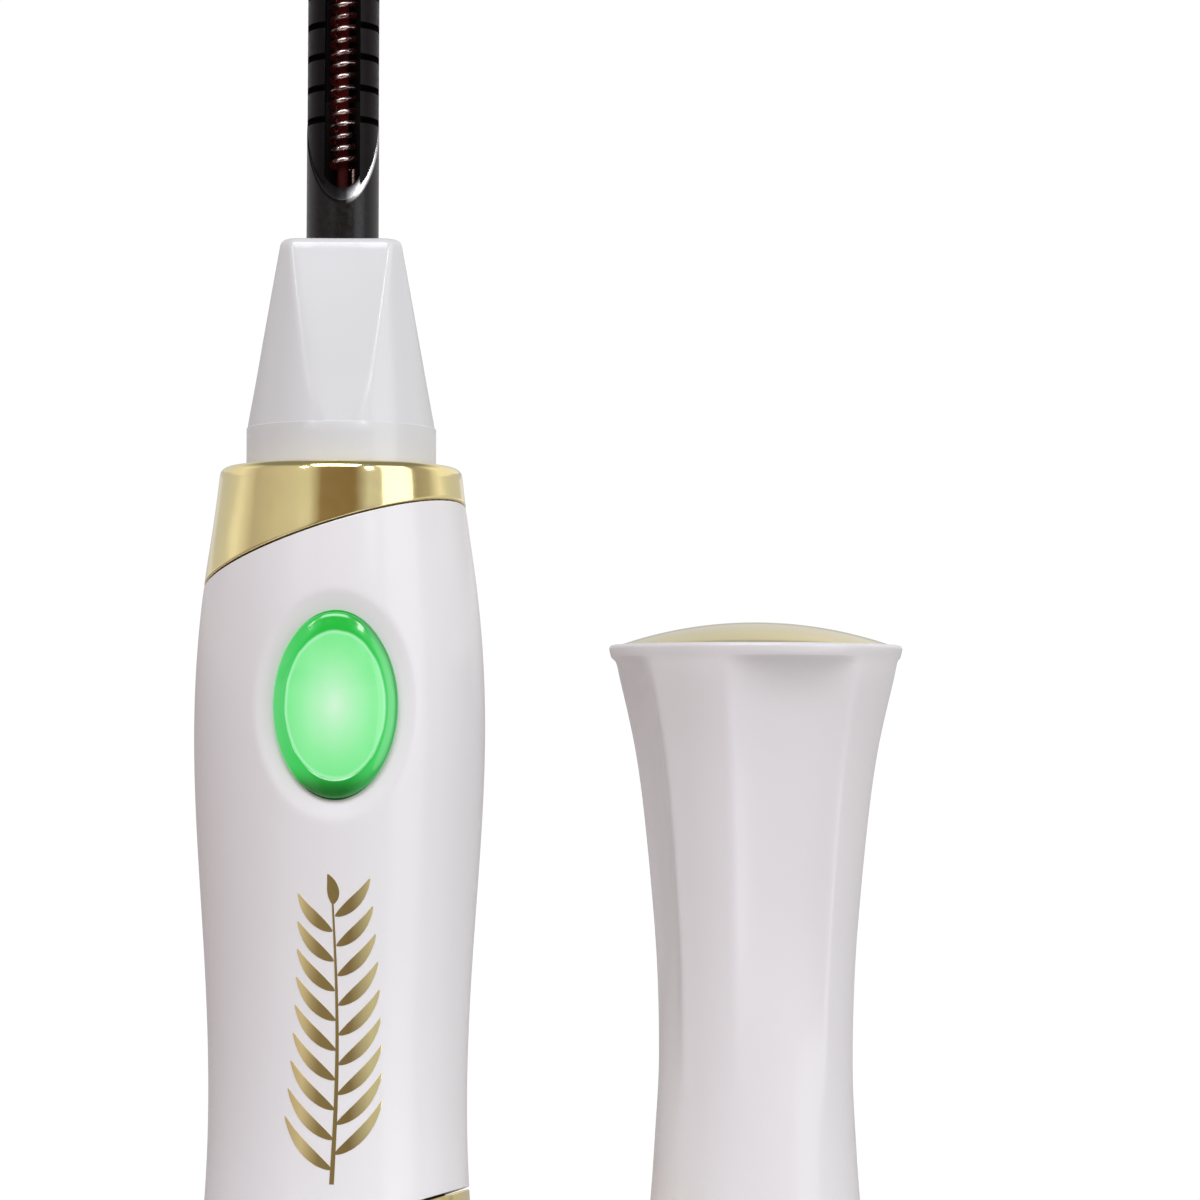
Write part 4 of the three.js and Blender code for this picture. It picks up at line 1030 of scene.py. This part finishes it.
def build_tip():
    foot, shoulder = COMB_TOP_Z + TIP_GAP, COMB_TOP_Z + TIP_STRAIGHT
    arc = [(COMB_R * cos(a), shoulder + (TIP_Z - shoulder) * sin(a)) for a in spread(0, pi / 2, 14)]
    tip = rounded([(0, foot, 0), (COMB_R, foot, 0.1), (COMB_R, shoulder - 0.1, 0)]) + arc
    make("comb_tip", turned(lambda angle: tip, 96), "handle", "black_plastic", ["tip_cap"])


def build_heater():
    core_low, core_high = node_box("heater_core")
    core = [(0, core_low.z, 0), (CORE_R, core_low.z, 0.05), (CORE_R, core_high.z, 0.1), (0, core_high.z, 0)]
    make("core_rod", lathe(core, 32, y=COIL_Y), "handle", "ceramic_core", ["heater_core"])
    start, end = (COIL_BOTTOM_Z - below for below in COIL_TAIL)
    path = [(COIL_R, COIL_Y, z) for z in spread(start, end, 8)]
    for turn in spread(0, COIL_TURNS, COIL_TURNS * 28):
        angle = 2 * pi * turn
        path.append((COIL_R * cos(angle), COIL_Y + COIL_R * sin(angle), COIL_BOTTOM_Z + COIL_PITCH * turn))
    make("hot_coil", swept(path, WIRE_R, 12), "handle", "heater_wire", ["heating_coil"])


# ---------- cap ----------

cap_radius = smooth_curve(CAP_OUTLINE)


def flute_share(z):
    """Share of a flute's depth: it fades in above the waist and runs out in a curve under the lip."""
    run_out = max(0, min(1, (z - FLUTE_RUN_OUT_Z) / (FLUTE_TOP_Z - FLUTE_RUN_OUT_Z)))
    return smoothstep(*FLUTE_FADE_Z, z) * (1 - run_out ** 4) ** 0.8


def fluted(angle, z):
    """Radius of the cap: round lands with four shallow scoops between them."""
    land = cap_radius(z)
    period = 2 * pi / FLUTES
    offset = angle - FLUTE_CENTRE - period * round((angle - FLUTE_CENTRE) / period)
    near = min(abs(offset) / FLUTE_HALF, 1.25)
    flat = land * cos(FLUTE_HALF) / cos(offset)
    scoop = flat - FLUTE_SCOOP * (1 - near ** 4)
    share = flute_share(z)
    surface = lerp(land + 0.02, scoop, share)
    softness = lerp(*FLUTE_SOFT, share)
    overlap = max(softness - abs(land - surface), 0) / softness
    return min(land, surface) - overlap * overlap * softness / 4


def build_cap():
    def outline(angle):
        heights = spread(0.5, 44, 40) + spread(44.6, FLUTE_TOP_Z - 0.02, 26)
        wall = [(fluted(angle, z), z, 0) for z in heights]
        rim = [(cap_radius(z), z, 0) for z in (FLUTE_TOP_Z + 0.04, FLUTE_TOP_Z + 0.3)]
        pocket = [
            (CAP_POCKET_R, CAP_RIM_Z, 0.12), (CAP_POCKET_R, CAP_POCKET_Z, 0.1), (9, CAP_POCKET_Z - 0.05, 0),
            (0, CAP_POCKET_Z - 0.1, 0),
        ]
        return rounded([
            (CAP_MOUTH_R, 0, 0.15), (cap_radius(0), 0, 0.2), *wall, *rim,
            (cap_radius(CAP_RIM_Z), CAP_RIM_Z, CAP_LIP), *pocket, (0, CAP_ROOF_Z, 0), *CAP_BORE,
        ])

    shell = turned(outline, 384, x=CAP_X)
    make("fluted_cap", shell, "cap", "white_plastic", ["cap_shell"], finish="cap_plastic")
    make("cap_grip", lathe(CAP_GRIP, 128, x=CAP_X), "cap", "insulator", ["cap_liner"])

    rise = DOME_TOP_Z - CAP_RIM_Z + 0.02
    sphere = (DOME_R ** 2 + rise ** 2) / (2 * rise)
    half = asin(DOME_R / sphere)
    arc = [(sphere * sin(a), DOME_TOP_Z - sphere * (1 - cos(a)), 0) for a in spread(half * 0.985, 0, 24)]
    disc = [(0, DOME_FOOT_Z, 0), (DOME_R, DOME_FOOT_Z, 0.1), (DOME_R, CAP_RIM_Z - 0.05, 0.12), *arc]
    make("gold_dome", lathe(disc, x=CAP_X), "cap", "gold_plating", ["cap_dome"])


# ---------- gold foil ornament ----------

def foil_stroke(line, widths):
    """A thin foil shape on the sleeve's front along a line of (across, height) points."""
    proud, rooted = 0.03, 0.03

    def on_skin(across, z, lift):
        radius = handle_radius(z)
        return around(across / radius, radius + lift, z)

    rings = []
    for i, ((u, z), width) in enumerate(zip(line, widths)):
        (u0, z0), (u1, z1) = line[max(i - 1, 0)], line[min(i + 1, len(line) - 1)]
        length = hypot(u1 - u0, z1 - z0)
        nu, nz = -(z1 - z0) / length * width / 2, (u1 - u0) / length * width / 2
        rings.append([
            on_skin(u + nu, z + nz, -rooted), on_skin(u + nu, z + nz, proud),
            on_skin(u, z, proud + 0.004), on_skin(u - nu, z - nz, proud), on_skin(u - nu, z - nz, -rooted),
        ])
    return loft(rings)


SPRIG_FOOT_Z = 13.0
SPRIG_HEAD_Z = 33.2
LEAF_PAIRS = 9
LEAF_LENGTHS = (5.1, 3.7)  # of the lowest and the highest pair
LEAF_LEAN = 1.1  # radians from upright at a leaf's foot
TOP_LEAF = (2.2, 0.18)  # length and lean


def build_ornament():
    """A plain sprig of slender foil leaves, low on the handle's front."""
    def stem_u(z):
        return -0.1 + 0.35 * sin((z - SPRIG_FOOT_Z) / (SPRIG_HEAD_Z - SPRIG_FOOT_Z) * pi)

    def leaf(u, z, side, length, lean):
        line, widths = [], []
        for t in spread(0, 1, 20):
            bend = lean - 0.35 * t
            line.append((u + side * length * t * sin(bend), z + length * t * cos(bend)))
            widths.append(0.08 + 0.78 * sin(pi * t ** 0.8) ** 0.9)
        return foil_stroke(line, widths)

    stem = [(stem_u(z), z) for z in spread(SPRIG_FOOT_Z, SPRIG_HEAD_Z, 70)]
    strokes = [foil_stroke(stem, spread(0.34, 0.14, 70))]
    for k in range(LEAF_PAIRS):
        share = k / (LEAF_PAIRS - 1)
        z = lerp(SPRIG_FOOT_Z + 1.6, SPRIG_HEAD_Z - 1.4, share)
        for side in (-1, 1):
            u = stem_u(z) + 0.1 * side
            strokes.append(leaf(u, z + 0.55 * side, side, lerp(*LEAF_LENGTHS, share), LEAF_LEAN))
    strokes.append(leaf(stem_u(SPRIG_HEAD_Z), SPRIG_HEAD_Z, 1, *TOP_LEAF))
    make("foil_sprig", joined(strokes), "handle", "gold_plating")


# ---------- studio ----------

FLOOR_R = 72
FLOOR_SOLID_R = 0.45 * FLOOR_R
FLOOR_CENTRE = (CAP_X / 2, -6, 0)


def build_floor():
    """A pale floor that is solid round the object and fades into the white room further out."""
    finish = Finish("studio_floor", (0.88, 0.88, 0.88), 0.6)
    finish.vary_color(finish.noise(60), 0.01)
    finish.vary_roughness(finish.noise(40), 0.55, 0.7)
    reach = finish.vector("LENGTH", finish.place)
    finish.into(finish.range(reach, 1, 0, (FLOOR_SOLID_R * MM, FLOOR_R * MM)), "Alpha")
    mesh = bpy.data.meshes.new("floor")
    rim = [Vector(around(a, FLOOR_R, 0)) * MM for a in full_turn(96)]
    mesh.from_pydata(rim, [], [tuple(range(len(rim)))])
    mesh.materials.append(finish.material)
    floor = add_object("floor", mesh)
    floor.location = Vector(FLOOR_CENTRE) * MM


PANELS = [  # azimuth in degrees from the front towards +X, colour of the room there
    (-180, (0.62, 0.62, 0.61)), (-105, (0.86, 0.84, 0.83)), (-85, (0.5, 0.46, 0.45)),
    (-60, (0.6, 0.57, 0.55)), (-28, (0.66, 0.65, 0.63)), (-17, (0.26, 0.19, 0.12)),
    (15, (0.24, 0.17, 0.1)), (28, (0.6, 0.6, 0.62)), (70, (0.62, 0.62, 0.63)),
    (78, (0.36, 0.33, 0.3)), (92, (0.44, 0.41, 0.37)), (108, (0.95, 0.93, 0.9)),
    (150, (0.9, 0.88, 0.86)), (180, (0.62, 0.62, 0.61)),
]
FLAG = [  # the same for the narrow band a little above eye level, where dark flags hang
    (-180, (0.5, 0.5, 0.5)), (-100, (0.66, 0.65, 0.65)), (-75, (0.12, 0.11, 0.11)),
    (-12, (0.12, 0.1, 0.1)), (0, (0.08, 0.07, 0.07)), (32, (0.08, 0.07, 0.07)),
    (48, (0.55, 0.55, 0.55)), (82, (0.8, 0.8, 0.8)), (130, (0.6, 0.6, 0.6)),
    (180, (0.5, 0.5, 0.5)),
]
LOW = [  # the same below eye level
    (-180, (0.46, 0.43, 0.43)), (-120, (0.37, 0.29, 0.295)), (-60, (0.39, 0.29, 0.295)),
    (-30, (0.6, 0.55, 0.54)), (-16, (0.24, 0.2, 0.15)), (12, (0.2, 0.16, 0.12)),
    (30, (0.56, 0.56, 0.57)), (80, (0.56, 0.56, 0.57)), (120, (0.55, 0.53, 0.52)),
    (180, (0.46, 0.43, 0.43)),
]
FLAG_BAND = (0.165, 0.045, 0.015)  # rise of the band's middle, half its height, and its soft edge
LOW_EDGE = (0.03, 0.1)
CEILING = (0.24, 0.24, 0.24)
CEILING_EDGE = (0.55, 0.75)
BACKDROP = 1.02


def build_world():
    """A pale room seen as panels round the object, with a dark strip where the camera stands, a
    band of flags and a dimmer ceiling. The camera itself sees plain white."""
    world = bpy.data.worlds.new("studio")
    bpy.context.scene.world = world
    world.use_nodes = True
    world.node_tree.nodes.clear()
    nodes = Nodes(world.node_tree)
    x, y, z = nodes.split(nodes.new("TexCoord").outputs["Generated"]).values()
    azimuth = nodes.math("ARCTAN2", x, nodes.math("MULTIPLY", y, -1.0))
    turn = nodes.math("ADD", nodes.math("DIVIDE", azimuth, 2 * pi), 0.5)

    def light(color, strength=1.0):
        return nodes.new("Background", color, strength).outputs["Background"]

    def row(panels):
        return light(nodes.ramp(turn, [((angle + 180) / 360, color) for angle, color in panels]))

    def mix(share, first, second):
        return nodes.new("MixShader", share, first, second).outputs["Shader"]

    middle, half, soft = FLAG_BAND
    off_middle = nodes.math("ABSOLUTE", nodes.math("SUBTRACT", z, middle))
    flagged = nodes.math("DIVIDE", nodes.math("SUBTRACT", half, off_middle), soft, use_clamp=True)
    room = mix(nodes.range(z, 0, 1, LOW_EDGE), row(LOW), row(PANELS))
    room = mix(flagged, room, row(FLAG))
    room = mix(nodes.range(z, 0, 1, CEILING_EDGE), room, light((*CEILING, 1)))
    seen = nodes.new("LightPath").outputs["Is Camera Ray"]
    backdrop = light((1, 1, 1, 1), BACKDROP)
    nodes.new("OutputWorld", mix(seen, room, backdrop))


SOFTBOXES = [  # name, azimuth and elevation in degrees, width and height, power, colour
    ("key", 56, 14, (380, 800), 1.25, (0.95, 0.96, 1.0)),
    ("overhead", -6, 46, (460, 280), 3.05, (0.91, 0.93, 1.0)),
    ("spark", 28, 27, (70, 90), 0.25, (1, 1, 1)),
    ("left_spark", -36, 28, (60, 90), 0.2, (1, 1, 1)),
]
SOFTBOX_DISTANCE = 700
SOFTBOX_TARGET = (CAP_X / 2, 0, 55)


def build_softboxes():
    """Rectangular lights, all aimed at one point between the wand and the cap."""
    for name, azimuth, elevation, size, power, color in SOFTBOXES:
        light = bpy.data.lights.new(name, "AREA")
        light.shape = "RECTANGLE"
        light.size, light.size_y = (side * MM for side in size)
        light.energy, light.color = power, color
        lamp = add_object(name, light)
        flat = SOFTBOX_DISTANCE * cos(radians(elevation))
        offset = Vector(around(radians(azimuth), flat, SOFTBOX_DISTANCE * sin(radians(elevation)))) * MM
        lamp.location = Vector(SOFTBOX_TARGET) * MM + offset
        lamp.rotation_euler = (-offset).to_track_quat("-Z", "Y").to_euler()


EYE = (8.0, -242.4, 45.8)
EYE_PITCH = radians(2.33)  # up from level
EYE_ROLL = radians(-0.24)
LENS = 96
LENS_SHIFT = 0.1287


def build_camera():
    camera = bpy.data.cameras.new("camera")
    camera.sensor_width, camera.lens, camera.shift_x = 36, LENS, LENS_SHIFT
    camera.clip_start, camera.clip_end = 0.01, 20
    eye = add_object("camera", camera)
    eye.location = Vector(EYE) * MM
    eye.rotation_euler = (pi / 2 + EYE_PITCH, EYE_ROLL, 0)
    bpy.context.scene.camera = eye


def dress_carried_nodes():
    """Gives the CAD nodes that stay as they are the finish of their material slot."""
    slot_of = {row["node"]: row["material_slot"] for row in frame["record"]["subparts"]}
    for name, node in frame["nodes"].items():
        node.data.materials.clear()
        node.data.materials.append(FINISHES[slot_of[name]])


for build in (build_base, build_plug, build_spring, build_battery, build_sleeve, build_collar, build_button,
              build_neck, build_barrel, build_comb, build_tip, build_heater, build_cap, build_ornament,
              dress_carried_nodes, build_floor, build_world, build_softboxes, build_camera):
    build()
bpy.context.scene.view_settings.view_transform = "Standard"
